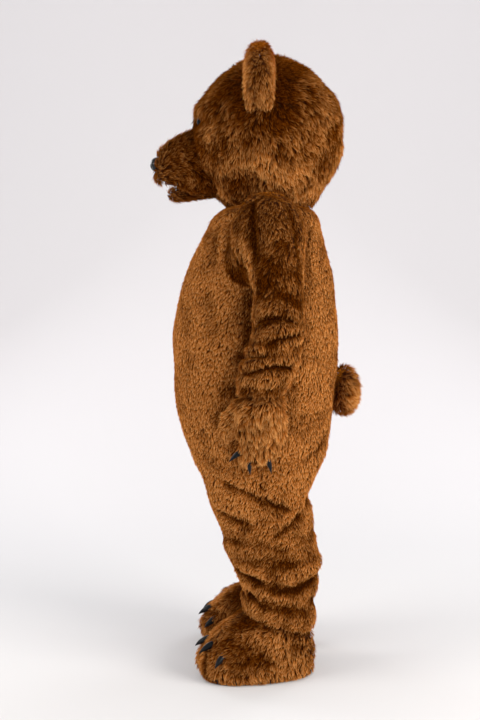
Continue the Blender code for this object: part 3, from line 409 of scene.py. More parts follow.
def pile_object(name, points, normals, comb, look, side, seed, tone, floor=None, bare=()):
    """The pile of a grid of cloth, in one mesh of bent blades of two triangles.

    Roots are spread by area. A blade goes from its root to its middle at the angle stand, and on
    to its tip at the angle lay, along comb turned a little for its lock, and the tips of a lock
    meet. The longer comb is, the flatter the pile lies. None grows in the balls (centre, radius)
    bare. tone is how much lighter or darker the pile is at each point of the grid.
    """
    if side < 0:
        seed += RIGHT_SEED
    random = np.random.default_rng(seed)
    diagonal = points[1:, 1:] - points[:-1, :-1]
    other = points[1:, :-1] - points[:-1, 1:]
    area = np.linalg.norm(np.cross(diagonal, other), axis=-1) / 2
    total = np.cumsum(area.ravel())
    count = int(total[-1] / look["spacing"] ** 2)
    picks = (np.arange(count) + random.random(count)) / count * total[-1]
    cell = np.minimum(np.searchsorted(total, picks), area.size - 1)
    row, col = np.divmod(cell, area.shape[1])
    s, t = random.random((2, count, 1))

    def between(grid_values):
        upper = grid_values[row, col] * (1 - t) + grid_values[row, col + 1] * t
        lower = grid_values[row + 1, col] * (1 - t) + grid_values[row + 1, col + 1] * t
        return upper * (1 - s) + lower * s

    root = between(points)
    for centre, radius in bare:
        kept = np.linalg.norm(root - centre, axis=1) > radius
        row, col, s, t, root = row[kept], col[kept], s[kept], t[kept], root[kept]
        count = len(root)
    out = unit(between(normals))
    lie = between(comb)
    press = np.linalg.norm(lie, axis=1).clip(1, 4)
    lie = unit(lie - out * (lie * out).sum(axis=-1, keepdims=True))
    beside = np.cross(out, lie)

    # A lock is a cell of a wavering cube grid. The 9 m keep every cell's number positive.
    wander = np.stack([ripple(root, look["lock"] * 6, seed + k) for k in (11, 12, 13)], axis=-1)
    cells = np.floor((root + 9) / look["lock"] + wander * 0.5).astype(np.int64)
    _, lock = np.unique(cells @ np.array([1, 1 << 14, 1 << 28]), return_inverse=True)
    locks = int(lock.max()) + 1
    members = np.bincount(lock, minlength=locks)

    turn = random.normal(size=locks)[lock] + ripple(root, 0.11, seed + 1)
    turn = (np.radians(look["twist"]) * (turn + 0.45 * random.normal(size=count)))[:, None]
    lie = lie * np.cos(turn) + beside * np.sin(turn)
    beside = np.cross(out, lie)
    loose = random.normal(size=locks)[lock] * 3 + random.normal(size=count) * 6
    stand = np.radians(np.clip(look["stand"] / press + loose, 10, 85))[:, None]
    lay = np.radians(np.clip(look["lay"] / press + loose, 4, 70))[:, None]
    length = look["length"] * (1 + 0.10 * random.normal(size=locks)[lock]
                               + 0.16 * random.normal(size=count)).clip(0.5, 1.5)[:, None]
    middle = root + (lie * np.cos(stand) + out * np.sin(stand)) * length * BLADE_MIDDLE
    tip = middle + (lie * np.cos(lay) + out * np.sin(lay)) * length * (1 - BLADE_MIDDLE)
    meet = np.stack([np.bincount(lock, tip[:, k], locks) / members for k in range(3)], axis=-1)
    tip = mix(tip, meet[lock], look["gather"])
    roll = random.uniform(-0.5, 0.5, (count, 1))
    half = (beside * np.cos(roll) + out * np.sin(roll)) * look["width"] / 2
    corners = np.stack([root, middle - half, middle + half, tip], axis=1)
    if floor is not None:
        corners[..., 2] = np.maximum(corners[..., 2], floor)

    blade_out = unit(np.cross(2 * half, tip - root))
    blade_out *= np.sign((blade_out * out).sum(axis=-1, keepdims=True))
    shade = unit(mix(out, blade_out, BLADE_SHINE))
    order = np.array([0, 1, 2, 1, 3, 2] if side > 0 else [0, 2, 1, 1, 2, 3])
    faces = (np.arange(count)[:, None] * 4 + order).reshape(-1, 3)
    mesh = numpy_mesh(name, corners * (side, 1, 1), faces)

    tone = (look["tone"] + between(tone[..., None])[:, 0]
            + LOCK_TONE * random.normal(size=locks)[lock] + BLADE_TONE * random.normal(size=count)
            + 0.03 * ripple(root, 0.15, seed + 2) + 0.07 * ripple(root, 0.03, seed + 3))
    uv = np.empty((count, 4, 2))
    uv[..., 0] = tone.clip(*TONE_ENDS)[:, None]
    uv[..., 1] = (0.01, BLADE_MIDDLE, BLADE_MIDDLE, 0.99)
    mesh.uv_layers.new(name="OFBake").data.foreach_set("uv", uv[:, order].ravel())
    mesh.shade_smooth()
    repeated = np.repeat(shade * (side, 1, 1), 4, axis=0)
    mesh.normals_split_custom_set_from_vertices(repeated.tolist())
    return add_object(name, mesh, PILE)


def stand_for(node, slot, *pieces):
    """The first piece takes a solid's place, and all are on the root body. slot is not used."""
    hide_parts(node)
    for piece in pieces:
        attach(piece, "root")


def add_fur(node, cloth, look, side, seed, flat=None, area=None, fill=None, rows=slice(None),
            pile_from=0, **where):
    """The backing and pile that stand for a fur node. fill is not used.

    cloth is a grid's points, the way out at each, and its pile's comb and tone. Pile grows from the
    row pile_from down.
    """
    points, away, comb, tone = cloth
    # painted shade in the cloth's hollows and painted highlight on its ridges, added to its tone
    tone = (hollow_tone(points, away, look) + tone)[rows]
    comb = np.broadcast_to(comb, points.shape)[rows]
    points = points[rows]
    normals = grid_normals(points, away[rows])
    backing = backing_object(node + "_backing", points, normals, side)
    points, normals, comb, tone = (part[pile_from:] for part in (points, normals, comb, tone))
    pile = pile_object(node + "_pile", points, normals, comb, look, side, seed, tone, **where)
    stand_for(node, "brown_fur", backing, pile)


# One ring for each half of the body at each height. Its centre moves out from the middle line below
# the belly, and where it passes its half width the ring is a leg of its own.
BODY = columns("height centre half_width front back lift dip", [
    (0.182, 0.137, 0.108, -0.04, 0.184, 0, 0.028), (0.215, 0.137, 0.107, -0.045, 0.186, 0, 0.026),
    (0.25, 0.137, 0.105, -0.047, 0.19, 0, 0.018), (0.29, 0.137, 0.107, -0.053, 0.194, 0, 0.008),
    (0.33, 0.137, 0.113, -0.068, 0.197, 0, 0.002), (0.38, 0.137, 0.116, -0.086, 0.194, 0, 0),
    (0.45, 0.136, 0.118, -0.108, 0.186, 0, 0), (0.52, 0.135, 0.121, -0.135, 0.174, 0, 0),
    (0.57, 0.133, 0.124, -0.149, 0.172, 0, 0), (0.61, 0.129, 0.128, -0.162, 0.182, 0, 0),
    (0.645, 0.113, 0.143, -0.181, 0.202, 0, 0), (0.685, 0.084, 0.172, -0.199, 0.22, 0, 0),
    (0.73, 0.048, 0.208, -0.222, 0.231, 0, 0), (0.79, 0.014, 0.245, -0.24, 0.241, 0, 0),
    (0.86, 0, 0.263, -0.25, 0.252, 0, 0), (0.95, 0, 0.268, -0.254, 0.259, 0, 0),
    (1.04, 0, 0.266, -0.254, 0.26, 0, 0), (1.13, 0, 0.257, -0.24, 0.252, 0, 0),
    (1.21, 0, 0.243, -0.219, 0.243, 0, 0), (1.3, 0, 0.228, -0.183, 0.221, 0.008, 0),
    (1.36, 0, 0.219, -0.151, 0.205, 0.026, 0), (1.4, 0, 0.205, -0.128, 0.193, 0.044, 0),
    (1.418, 0, 0.172, -0.108, 0.18, 0.022, 0), (1.432, 0, 0.134, -0.087, 0.166, 0.004, 0),
    (1.446, 0, 0.12, -0.076, 0.157, 0, 0), (1.466, 0, 0.116, -0.072, 0.152, 0, 0)
])

# Angles run from the side seam: minus to the front and plus to the back, in degrees.
BODY_FOLDS = columns(FOLD, [
    # from the lap to the seat: a fine ridge, the hollow under it, and the seat over the thigh
    (0.647, -42, 0.53, 58, 0.008, 0.008, 0.18), (0.628, -40, 0.512, 52, 0.018, -0.01, 0.18),
    (0.594, 60, 0.626, 150, 0.024, 0.003, 0.14), (0.548, 60, 0.584, 155, 0.016, -0.02, 0.14),
    (0.482, 12, 0.556, 62, 0.014, 0.007, 0.14), (0.462, 8, 0.535, 58, 0.01, -0.01, 0.14),
    (0.655, 95, 0.625, 150, 0.02, -0.01, 0.14),
    # dents along the side seam, and creases round the thigh and the knee
    (0.671, -1, 0.63, 0, 0.007, -0.007, 0.17), (0.63, 0, 0.554, 14, 0.008, -0.008, 0.15),
    (0.554, 14, 0.485, 24, 0.01, -0.008, 0.13), (0.52, -60, 0.5, -15, 0.016, -0.009, 0.13),
    (0.545, -55, 0.535, -20, 0.018, 0.005, 0.13), (0.47, 150, 0.44, 40, 0.026, -0.007, 0.13),
    (0.455, -20, 0.47, 30, 0.02, 0.005, 0.13), (0.4, -120, 0.415, 0, 0.022, 0.006, 0.12),
    (0.425, -90, 0.44, -30, 0.016, -0.006, 0.12),
    # deep folds above the boot
    (0.348, -80, 0.312, -22, 0.013, -0.019, 0.12), (0.368, -75, 0.338, -10, 0.02, 0.008, 0.12),
    (0.288, -14, 0.298, 30, 0.011, -0.012, 0.12), (0.298, 30, 0.334, 92, 0.013, -0.019, 0.12),
    (0.334, 0, 0.365, 110, 0.022, 0.012, 0.12), (0.33, 110, 0.345, 200, 0.018, -0.014, 0.12),
    (0.268, 50, 0.236, 120, 0.014, -0.008, 0.12), (0.258, -150, 0.246, -60, 0.014, -0.01, 0.12),
    (0.27, -56, 0.222, -20, 0.013, -0.01, 0.12), (0.292, -60, 0.262, 40, 0.016, 0.007, 0.12),
    (0.21, -60, 0.205, 100, 0.02, 0.008, 0.12),
    # soft dents beside the hip, and pulls beside the armhole
    (0.7, 60, 0.68, 20, 0.018, -0.006, 0.22), (0.745, 70, 0.7, 55, 0.016, -0.006, 0.22),
    (0.7, -70, 0.67, -30, 0.03, -0.004, 0.2), (1.39, -55, 1.25, -38, 0.016, -0.007, 0.2),
    (1.37, 52, 1.23, 38, 0.016, -0.008, 0.2), (1.18, -36, 1.1, -30, 0.03, -0.006, 0.25),
    (0.96, 20, 0.9, 30, 0.022, -0.005, 0.26)
])

# Between these angles the arm and the mitt hang before the body, and their shadow is painted on it.
PAINTED_ARM_SHADOW = columns("height front back", [
    (0.67, -6, 6), (0.7, -16, 14), (0.74, -22, 21), (0.79, -29, 24), (0.84, -30, 26),
    (0.88, -23, 27), (0.94, -18, 27), (1, -9, 29), (1.13, -4, 34), (1.18, -7, 34), (1.24, -11, 36),
    (1.3, -16, 39), (1.36, -30, 42), (1.46, -42, 44)
])
SHADE_FOOT = 0.655

ARMHOLE_HEIGHT = 1.300
ARMHOLE_HALF_HEIGHT = 0.102
ARMHOLE_HALF_ANGLE = np.radians(31)
PANEL_ROWS = 140
PANEL_COLUMNS = 38
COLUMN_SPREAD = 1.15        # how much wider apart the columns are towards the middle line
ZIP_HALF_WIDTH = 0.004
ZIP_TOP, ZIP_BOTTOM = 1.47, 0.96
# Each cut piece of a panel: its first and last row, its flat size and its area.
PANEL_CUTS = {
    "yoke": (0, 32, (0.44, 0.34), 0.095),
    "body": (32, 88, (0.46, 0.57), 0.210),
    "leg": (88, PANEL_ROWS - 1, (0.46, 0.52), 0.195),
}


def body(height, angle):
    """The suit's smooth outside: an ellipse at each height, at this angle from the side seam."""
    row = row_at(BODY, height)
    x = row["centre"] + row["half_width"] * np.cos(angle)
    z = row["height"] + row["lift"] * np.cos(angle) ** 2 - row["dip"] * np.sin(angle)
    return xyz(x, swing(row["front"], row["back"], np.sin(angle)), z + (height - row["height"]))


def to_world(points):
    """Heights above the soles become heights from the origin, between the shoulders."""
    return np.subtract(points, (0, 0, SHOULDER_HEIGHT))


def panel_edge(height, sense):
    """Panels meet on the middle line. The back ones, of sense 1, part for the zip."""
    beside_zip = (sense > 0) & (height < ZIP_TOP + 0.02) & (height > ZIP_BOTTOM - 0.02)
    return np.where(beside_zip, ZIP_HALF_WIDTH + SEAM_GAP, SEAM_GAP / 2)


def panel_tone(height, angle):
    """Painted highlights on the middle lines; painted shadow under the arm; dark on the shin."""
    arm = row_at(PAINTED_ARM_SHADOW, np.maximum(height, PAINTED_ARM_SHADOW["height"][0]))
    by_sleeve = ramp(height, 0.93, 0.08)
    half = (arm["back"] - arm["front"]) / 2 + 3 + 3 * by_sleeve
    # painted shadow of the arm and the mitt on the body
    painted_arm_shadow = np.exp(-((angle - (arm["back"] + arm["front"]) / 2) / half) ** 8)
    painted_arm_shadow = painted_arm_shadow * (0.8 + 0.2 * by_sleeve) * ramp(height, SHADE_FOOT, 0.02)
    # painted highlights along the middle lines and down the legs' front and back edges
    middle_rim_light = bell(90 - np.abs(angle), 9) * ramp(height, 0.60, 0.10)
    leg_rim_light = (bell(angle + 85, 20) + bell(angle - 88, 20)) * ramp(height, 0.60, -0.10)
    shin = ramp(height, 0.56, -0.10)
    front = ramp(angle, 0, -30) * (1 - shin)
    back = ramp(angle, 0, 40) * (1 - shin)
    cloud = ripple(xyz(angle / 300, 0, height), 0.12, 14)
    return (0.20 * middle_rim_light + 0.30 * leg_rim_light + 0.22 * front + 0.14 * back - 0.64 * painted_arm_shadow
            - 0.34 * shin + (0.12 + 0.04 * shin) * cloud)


def panel_cloth(sense):
    """A front (sense -1) or back (sense 1) panel from side seam to middle line, combed down."""
    heights = np.linspace(BODY["height"][-1], BODY["height"][0], PANEL_ROWS)
    part = (heights - ARMHOLE_HEIGHT) / ARMHOLE_HALF_HEIGHT
    armhole_edge = ARMHOLE_HALF_ANGLE * np.sqrt(np.clip(1 - part ** 2, 0, None))
    row = row_at(BODY, heights)
    edge_x = panel_edge(heights, sense)
    middle = np.arccos(np.clip((edge_x - row["centre"]) / row["half_width"], -1, 1))
    middle = np.minimum(middle, np.pi - SEAM_GAP)
    share = np.linspace(0, 1, PANEL_COLUMNS) ** COLUMN_SPREAD
    angle = sense * (armhole_edge[:, None] + (middle - armhole_edge)[:, None] * share)
    height = np.repeat(heights[:, None], PANEL_COLUMNS, axis=1)
    away = outward(body, height, angle, -1)
    smooth = body(height, angle)
    raised = fold_height(BODY_FOLDS, height, angle) + 0.0010 * ripple(smooth, 0.13, 5)
    points = smooth + away * (raised - SUIT_PILE["depth"])[..., None]
    points[..., 0] = np.maximum(points[..., 0], edge_x[:, None])
    forward = np.clip(0.42 - points[..., 1] * 0.9, 0.05, 0.5)
    return to_world(points), away, xyz(0, -forward, -1), panel_tone(height, np.degrees(angle))


for cut_name, sense, seed in (("front", -1, 21), ("back", 1, 22)):
    cloth = panel_cloth(sense)
    for side_name, side in SIDES.items():
        for part_name, (first, last, flat, area) in PANEL_CUTS.items():
            add_fur(f"suit_{cut_name}_{side_name}_{part_name}", cloth, SUIT_PILE, side, seed, flat,
                    area, rows=slice(first, last + 1))


# The closed zip down the centre back: woven tape, a coil of fine teeth on each side, and a slider
# with a pull tab at the collar. The pile beside it is long enough to cover the tape.

ZIP_SUNK = 0.006
ZIP_ROWS = 90
TOOTH_PITCH = 0.0024
TOOTH_SIZE = np.array([0.0030, 0.0012, 0.0013])

# Polyester tape: a tight brown weave 1.2 mm apart, drawn as crossing waves.
ZIP_TAPE = patterned_material(
    "woven polyester zip tape, brown", "ShaderNodeTexWave", {"Scale": 260.0}, "Fac",
    ("#1d0f06", "#3a2010"), (0.5, 0.0004), settings={"bands_direction": "Z"}, Roughness=0.75)


def black_plastic(name, roughness, coat, specular):
    """Moulded ABS, black and glossy, with the faint waviness, 8 mm wide, and fine dust of wear."""
    return patterned_material(
        name, "ShaderNodeTexNoise", {"Scale": 120.0, "Detail": 4.0}, "Fac", ("#050607", "#111317"),
        (0.15, 0.0006), Roughness=roughness, Coat_Weight=coat, Coat_Roughness=0.06, IOR=1.53,
        Specular_IOR_Level=specular)


BLACK_PLASTIC = black_plastic("glossy black ABS", 0.24, 0.1, 0.18)
BLACK_RESIN = black_plastic("satin black resin", 0.34, 0.05, 0.12)
EYE_BLACK = black_plastic("matt black resin", 0.5, 0.0, 0.03)


def add_zip():
    """The tape follows the back's middle line, with small bars as teeth, left and right in turn."""
    def line_y(height):
        return row_at(BODY, height)["back"] - ZIP_SUNK

    heights = np.linspace(BODY["height"][-1], ZIP_BOTTOM, ZIP_ROWS)[:, None]
    points = to_world(xyz(np.linspace(-1, 1, 5) * ZIP_HALF_WIDTH, line_y(heights), heights))
    away = np.broadcast_to((0.0, 1, 0), points.shape)
    tape = backing_object("zip_tape", points, away, 1, ZIP_TAPE)

    along = np.arange(BODY["height"][-1] - 0.004, ZIP_BOTTOM + 0.004, -TOOTH_PITCH)
    number = np.arange(len(along))
    box = np.array([(x, y, z) for x in (-1, 1) for y in (-1, 1) for z in (-1, 1)]) / 2
    sides = np.where(number % 2, 1.0, -1.0) * TOOTH_SIZE[0] * 0.22
    middle = to_world(xyz(sides, line_y(along) + TOOTH_SIZE[1] / 2, along))
    faces = np.array([(0, 1, 3, 2), (4, 6, 7, 5), (0, 4, 5, 1), (2, 3, 7, 6), (0, 2, 6, 4),
                      (1, 5, 7, 3)])
    faces = (number[:, None, None] * 8 + faces).reshape(-1, 4)
    coil = numpy_mesh("zip_coil", middle[:, None] + box * TOOTH_SIZE, faces)
    teeth = add_object("zip_coil", coil, ZIP_TAPE)
    stand_for("suit_zip", "zip_tape", tape, teeth)


def finish_solid(node, material):
    """A plain solid is kept as it is, in its own material."""
    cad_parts[node].data.materials.clear()
    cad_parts[node].data.materials.append(material)


add_zip()
finish_solid("zip_slider", BLACK_PLASTIC)


# Sleeves: one-piece tubes of the same fur, set into the armholes with their heads rolled over the
# seam. They wrinkle at the elbow and gather above the mitt, and the pile swirls between the folds.

# Each row is a ring from the top of the arm, or its outer side, to the underarm, or its inner side.
SLEEVE = columns("along outer_x outer_z inner_x inner_z front back", [
    (0, 0.205, 1.446, 0.245, 1.198, -0.06, 0.134), (0.03, 0.24, 1.466, 0.254, 1.19, -0.069, 0.14),
    (0.07, 0.285, 1.46, 0.261, 1.18, -0.067, 0.141),
    (0.12, 0.33, 1.43, 0.266, 1.165, -0.05, 0.139),
    (0.18, 0.37, 1.375, 0.27, 1.145, -0.028, 0.136),
    (0.24, 0.395, 1.3, 0.273, 1.12, -0.014, 0.135),
    (0.31, 0.41, 1.215, 0.275, 1.08, -0.012, 0.138),
    (0.38, 0.416, 1.135, 0.2765, 1.035, -0.014, 0.14),
    (0.45, 0.418, 1.065, 0.2785, 0.995, -0.022, 0.133),
    (0.52, 0.4195, 1, 0.281, 0.955, -0.041, 0.118),
    (0.58, 0.421, 0.945, 0.284, 0.925, -0.054, 0.103),
    (0.62, 0.42, 0.905, 0.286, 0.903, -0.059, 0.088)
])

# Angles run round the arm: 0 is its back, 90 its outer side, 180 its front.
SLEEVE_FOLDS = columns(FOLD, [
    # the deep fold in front of the shoulder, the sleeve head's rolled edge, and the fold behind it
    (0.06, 112, 0.215, 150, 0.013, -0.018, 0.09), (0.035, 160, 0.12, 178, 0.014, 0.008, 0.09),
    (0.03, 100, 0.04, 160, 0.012, 0.007, 0.09), (0.03, 90, 0.045, 30, 0.012, 0.007, 0.09),
    (0.05, 40, 0.2, 12, 0.014, 0.007, 0.09), (0.09, 60, 0.205, 30, 0.014, -0.012, 0.09),
    # folds of the elbow and the forearm
    (0.23, 165, 0.3, 150, 0.016, 0.006, 0.075), (0.3, 150, 0.345, 40, 0.022, -0.007, 0.075),
    (0.33, 120, 0.3, 50, 0.018, 0.005, 0.075), (0.366, 160, 0.372, 50, 0.018, 0.009, 0.075),
    (0.388, 172, 0.396, 58, 0.009, -0.017, 0.075), (0.436, 140, 0.424, 60, 0.014, 0.006, 0.075),
    (0.464, 100, 0.42, 28, 0.009, -0.015, 0.075), (0.446, 60, 0.4, 0, 0.015, 0.006, 0.075),
    (0.488, 178, 0.506, 104, 0.009, -0.014, 0.075), (0.47, 178, 0.485, 110, 0.014, 0.007, 0.075),
    (0.524, 170, 0.528, 90, 0.014, 0.009, 0.075), (0.541, 118, 0.533, 32, 0.011, -0.016, 0.075),
    (0.515, 60, 0.505, 10, 0.016, 0.007, 0.075), (0.572, 170, 0.586, 60, 0.014, 0.008, 0.07),
    # the inner side
    (0.3, 230, 0.34, 320, 0.018, -0.007, 0.075), (0.4, 220, 0.43, 320, 0.016, -0.008, 0.075),
    (0.5, 230, 0.52, 330, 0.016, -0.008, 0.075)
])
SLEEVE_FOLD_DEPTH = 1.25    # how much more the cloth folds than its backing's own form
SLEEVE_JOIN = 0.045         # the length over which the armhole's curve passes into the tube
SLEEVE_SHRINK = 0.005       # how much smaller than the armhole its first ring is, as a share
SLEEVE_ROWS = 84
SLEEVE_COLUMNS = 49
SLEEVE_PILE = dict(SUIT_PILE, length=0.019, twist=11, stand=36, lay=11, lock=0.009, gather=0.20,
                   depth=0.0078, tone=0.09, hollow=0.16)


def armhole(angle, shrink=0):
    """Height and angle on the body of the armhole's oval edge, made smaller by the share shrink."""
    return (ARMHOLE_HEIGHT + ARMHOLE_HALF_HEIGHT * np.sin(angle) * (1 - shrink),
            ARMHOLE_HALF_ANGLE * np.cos(angle) * (1 - shrink))


def seam_hold(along):
    """How far the armhole holds the sleeve: 1 at the seam, easing to 0 at SLEEVE_JOIN."""
    return (1 - ramp(along, 0, SLEEVE_JOIN))[..., None] ** 2


def sleeve(along, angle):
    """An ellipse at each row, from the top of the arm to the gathered end."""
    row = row_at(SLEEVE, along)
    up = (1 + np.sin(angle)) / 2
    y = swing(row["front"], row["back"], np.cos(angle))
    return xyz(mix(row["inner_x"], row["outer_x"], up), y, mix(row["inner_z"], row["outer_z"], up))


def set_in_sleeve(along, angle):
    """The sleeve with its first ring moved onto the armhole, and the next ones part of the way."""
    seam = body(*armhole(angle, SLEEVE_SHRINK)) + (SEAM_GAP, 0, 0)
    return sleeve(along, angle) + (seam - sleeve(0 * along, angle)) * seam_hold(along)


def sleeve_tone(along, angle):
    """Painted highlights on the rolled head and down the front and back; lighter at the forearm."""
    # painted highlights down the sleeve's front and back edges
    edge = bell_round(angle, 167, 12) + bell_round(angle, 13, 12)
    edge = edge * np.clip(along / 0.15, 0.3, 1)
    return 0.72 * edge + 0.40 * bell(along - 0.03, 0.014) + 0.36 * ramp(along, 0.28, 0.25) - 0.07


def sleeve_cloth():
    """The set-in sleeve with its folds. At the seam it lies on the backing of the panels."""
    along, angle = grid(0, SLEEVE["along"][-1], SLEEVE_ROWS, 0, 2 * np.pi, SLEEVE_COLUMNS)
    angle = angle - np.pi / 2
    away = outward(set_in_sleeve, along, angle, -1)
    smooth = set_in_sleeve(along, angle)
    raised = fold_height(SLEEVE_FOLDS, along, angle) * SLEEVE_FOLD_DEPTH
    raised = raised + 0.0012 * ripple(smooth, 0.10, 6)
    hold = seam_hold(along)
    inward = away * (raised - SLEEVE_PILE["depth"])[..., None] * (1 - hold)
    panel_away = outward(body, *armhole(angle), -1)
    points = smooth + inward - panel_away * SUIT_PILE["depth"] * hold
    return to_world(points), away, (0.1, -0.12, -1.0), sleeve_tone(along, np.degrees(angle))


cloth = sleeve_cloth()
for side_name, side in SIDES.items():
    add_fur("sleeve_" + side_name, cloth, SLEEVE_PILE, side, 31, (0.56, 0.66), 0.28)


# The tail: a stuffed ball of longer fur, sewn to the centre back just below the zip.

TAIL_MIDDLE = (0, 0.262, 0.862)
TAIL_RADIUS = 0.084
TAIL_REACH = 0.333
TAIL_FIRST_LEAN = np.radians(38)
TAIL_PILE = dict(spacing=0.0030, length=0.028, width=0.0028, stand=58, lay=28, lock=0.011,
                 gather=0.35, twist=20, depth=0.018, tone=0.52, hollow=0)


def back_face(x, z):
    """How far back the suit is at this place."""
    row = row_at(BODY, z)
    part = np.clip(1 - ((np.abs(x) - row["centre"]) / row["half_width"]) ** 2, 0, 1)
    return swing(row["front"], row["back"], np.sqrt(part))


def tail_cloth():
    """Rings that leave the back, swell to the ball's width and close at its rear."""
    share, angle = grid(0, 1, 22, 0, 2 * np.pi, 37)
    lean = TAIL_FIRST_LEAN + share * (np.pi - TAIL_FIRST_LEAN)
    size = (TAIL_RADIUS - TAIL_PILE["depth"]) * np.sin(lean)
    x = size * np.cos(angle)
    z = TAIL_MIDDLE[2] + size * np.sin(angle)
    base = back_face(x[:1], z[:1]) + SEAM_GAP
    backward = (np.cos(lean[:1]) - np.cos(lean)) / (np.cos(lean[:1]) + 1)
    points = xyz(x, mix(base, TAIL_REACH - TAIL_PILE["depth"], backward), z)
    return to_world(points), unit(points - TAIL_MIDDLE), (0, 0.6, -0.7), 0.30 * share - 0.02


add_fur("tail", tail_cloth(), TAIL_PILE, 1, 41, fill=0.8)


# The head: a left and a right half of longer, shaggier fur over thin foam, seamed down the middle,
# with an open neck. The pile is brushed away from the foot of the ear, back and down.

HEAD_HEIGHT = 1.660
HEAD_MIDDLE = 0.040
HEAD_HALF_WIDTH = 0.250
HEAD_HALF_DEPTH = 0.234
HEAD_UP, HEAD_DOWN = 0.226, 0.280
CROWN_LEAN = np.radians(2)
NECK_LEAN = np.radians(142.5)
HEAD_PILE = dict(spacing=0.0032, length=0.027, width=0.0029, stand=46, lay=16, lock=0.010,
                 gather=0.30, twist=15, depth=0.0150, tone=0.15, hollow=0.09)
EAR_FOOT = (0.19, 0.02, 1.775)
EYE_PLACE = np.radians([82, -79])       # its lean and its angle on the head
EYE_SUNK = 0.026            # its centre lies this far under the head's surface
EYE_BARE = 0.0165           # and no pile grows this near to it

# Angles run from the side of the head: minus to the face and plus to the back, in degrees.
HEAD_FOLDS = columns(FOLD, [
    # the brow, and the slopes of the forehead above it and of the back of the crown
    (1.24, -88, 1.3, -52, 0.1, 0.008, 0.7), (0.86, -100, 0.86, -60, 0.24, -0.012, 0.7),
    (0.8, 110, 0.8, 40, 0.3, -0.009, 0.7),
    # the hollow of the eye, the cheek, and the side under the ear
    (1.44, -80, 1.36, -56, 0.09, -0.012, 0.7), (1.8, -62, 2.1, -35, 0.16, 0.008, 0.7),
    (1.3, -8, 1.32, 20, 0.2, -0.004, 0.9)
])


def head(lean, angle):
    """The head's outside: lean from straight up, and angle round from the side to the back."""
    tall = np.where(np.cos(lean) > 0, HEAD_UP, HEAD_DOWN)
    return xyz(HEAD_HALF_WIDTH * np.sin(lean) * np.cos(angle),
               HEAD_MIDDLE + HEAD_HALF_DEPTH * np.sin(lean) * np.sin(angle),
               HEAD_HEIGHT + tall * np.cos(lean))


def head_tone(points, lean, angle):
    """Lighter cheek; painted highlight on the middle line; painted shade by the ear, eye and
    muzzle.
    """
    cheek = ramp(lean, 1.65, 0.5) * bell(angle - 28, 62)
    # painted highlight along the middle line
    middle = bell(90 - np.abs(angle), 14)
    # painted shade by the foot of the ear, in the eye's socket and round the foot of the muzzle
    ear = bell(np.linalg.norm(points - EAR_FOOT, axis=-1) - 0.03, 0.09)
    eye = bell(lean - 1.40, 0.14) * bell(angle + 62, 14)
    muzzle = bell(np.hypot(points[..., 0] / 0.104, (points[..., 2] - 1.503) / 0.172) - 1.12, 0.16)
    muzzle = muzzle * (points[..., 1] < HEAD_MIDDLE) * (points[..., 2] > 1.44)
    cloud = 0.15 * ripple(points, 0.11, 12)
    return 0.38 * cheek + 0.32 * middle - 0.36 * ear - 0.32 * eye - 0.32 * muzzle + cloud


def head_cloth():
    """Half of the head with its soft hollows, from the crown to the neck."""
    lean, angle = grid(0, NECK_LEAN, 56, -np.pi / 2, np.pi / 2, 48)
    away = outward(head, np.maximum(lean, CROWN_LEAN), angle, 1)
    smooth = head(lean, angle)
    raised = fold_height(HEAD_FOLDS, lean, angle) + 0.0022 * ripple(smooth, 0.12, 7)
    raised[0] = raised[0].mean()
    away[0] = (0, 0, 1)
    points = smooth + away * (raised - HEAD_PILE["depth"])[..., None]
    points[..., 0] = np.maximum(points[..., 0], SEAM_GAP / 2)
    comb = unit(smooth - EAR_FOOT) * (0.6, 1, 0.8) + (0, 0, -0.55)
    return to_world(points), away, comb, head_tone(points, lean, np.degrees(angle))


cloth = head_cloth()
eye_centre = to_world(head(*EYE_PLACE) - outward(head, *EYE_PLACE, 1) * EYE_SUNK)
for side_name, side in SIDES.items():
    add_fur("head_" + side_name, cloth, HEAD_PILE, side, 51, (0.60, 0.80), 0.34,
            bare=[(eye_centre, EYE_BARE)])


# The muzzle: an upper half and a jaw of short fur on thin foam, stitched to the face. The pile
# stands up more here, brushed back from the nose, and black fleece lines the open mouth.

UPPER_LIP, LOWER_LIP = 1.503, 1.484
# Sections from the face to the front: how far forward each is, and its share of width and height.
UPPER_ROWS = columns("at forward wide tall", [
    (0, 0, 1, 1), (1, 0.25, 0.92, 0.92), (2, 0.5, 0.83, 0.83), (3, 0.72, 0.74, 0.74),
    (4, 0.88, 0.63, 0.63), (5, 0.97, 0.5, 0.5), (6, 1, 0.34, 0.34), (7, 1, 0.17, 0.17),
    (8, 1, 0, 0)])
JAW_ROWS = columns("at forward wide tall", [
    (0, 0, 1, 0.46), (1, 0.35, 0.98, 0.74), (2, 0.65, 0.92, 0.95), (3, 0.85, 0.8, 1),
    (4, 0.95, 0.62, 0.92), (5, 0.99, 0.42, 0.7), (6, 1, 0.22, 0.38), (7, 1, 0, 0)])
MUZZLE_UPPER = dict(front=-0.309, half_width=0.104, height=0.172, lip=UPPER_LIP, rows=UPPER_ROWS)
MUZZLE_JAW = dict(front=-0.268, half_width=0.080, height=-0.041, lip=LOWER_LIP, rows=JAW_ROWS)
UPPER_PILE = dict(spacing=0.0026, length=0.024, width=0.0026, stand=54, lay=26, lock=0.010,
                  gather=0.32, twist=18, depth=0.0145, tone=0.20, hollow=0)
JAW_PILE = dict(UPPER_PILE, length=0.023, depth=0.012)
LIP_ROUND = 0.010           # how far the lip's front corner is rounded off
LIP_HANG = 0.026
GAP_REAR = -0.230
CORNER_COLUMNS = 3          # extra columns of cloth behind the gap, where the lips are sewn
MUZZLE_CORE = 0.35          # where the inside shrinks to, as a share of the way to the front
MUZZLE_REAR_ROOM = 0.05
NOSE_MIDDLE = (0, -0.3015, 1.560)
NOSE_BARE = 0.022           # the pile is clipped away this near to the nose's middle
LINING_HALF_WIDTH = 0.056
LINING_SUNK = 0.008         # how far its back lies behind the face's surface
LINING_ROOF_FRONT, LINING_FLOOR_FRONT = -0.270, -0.240


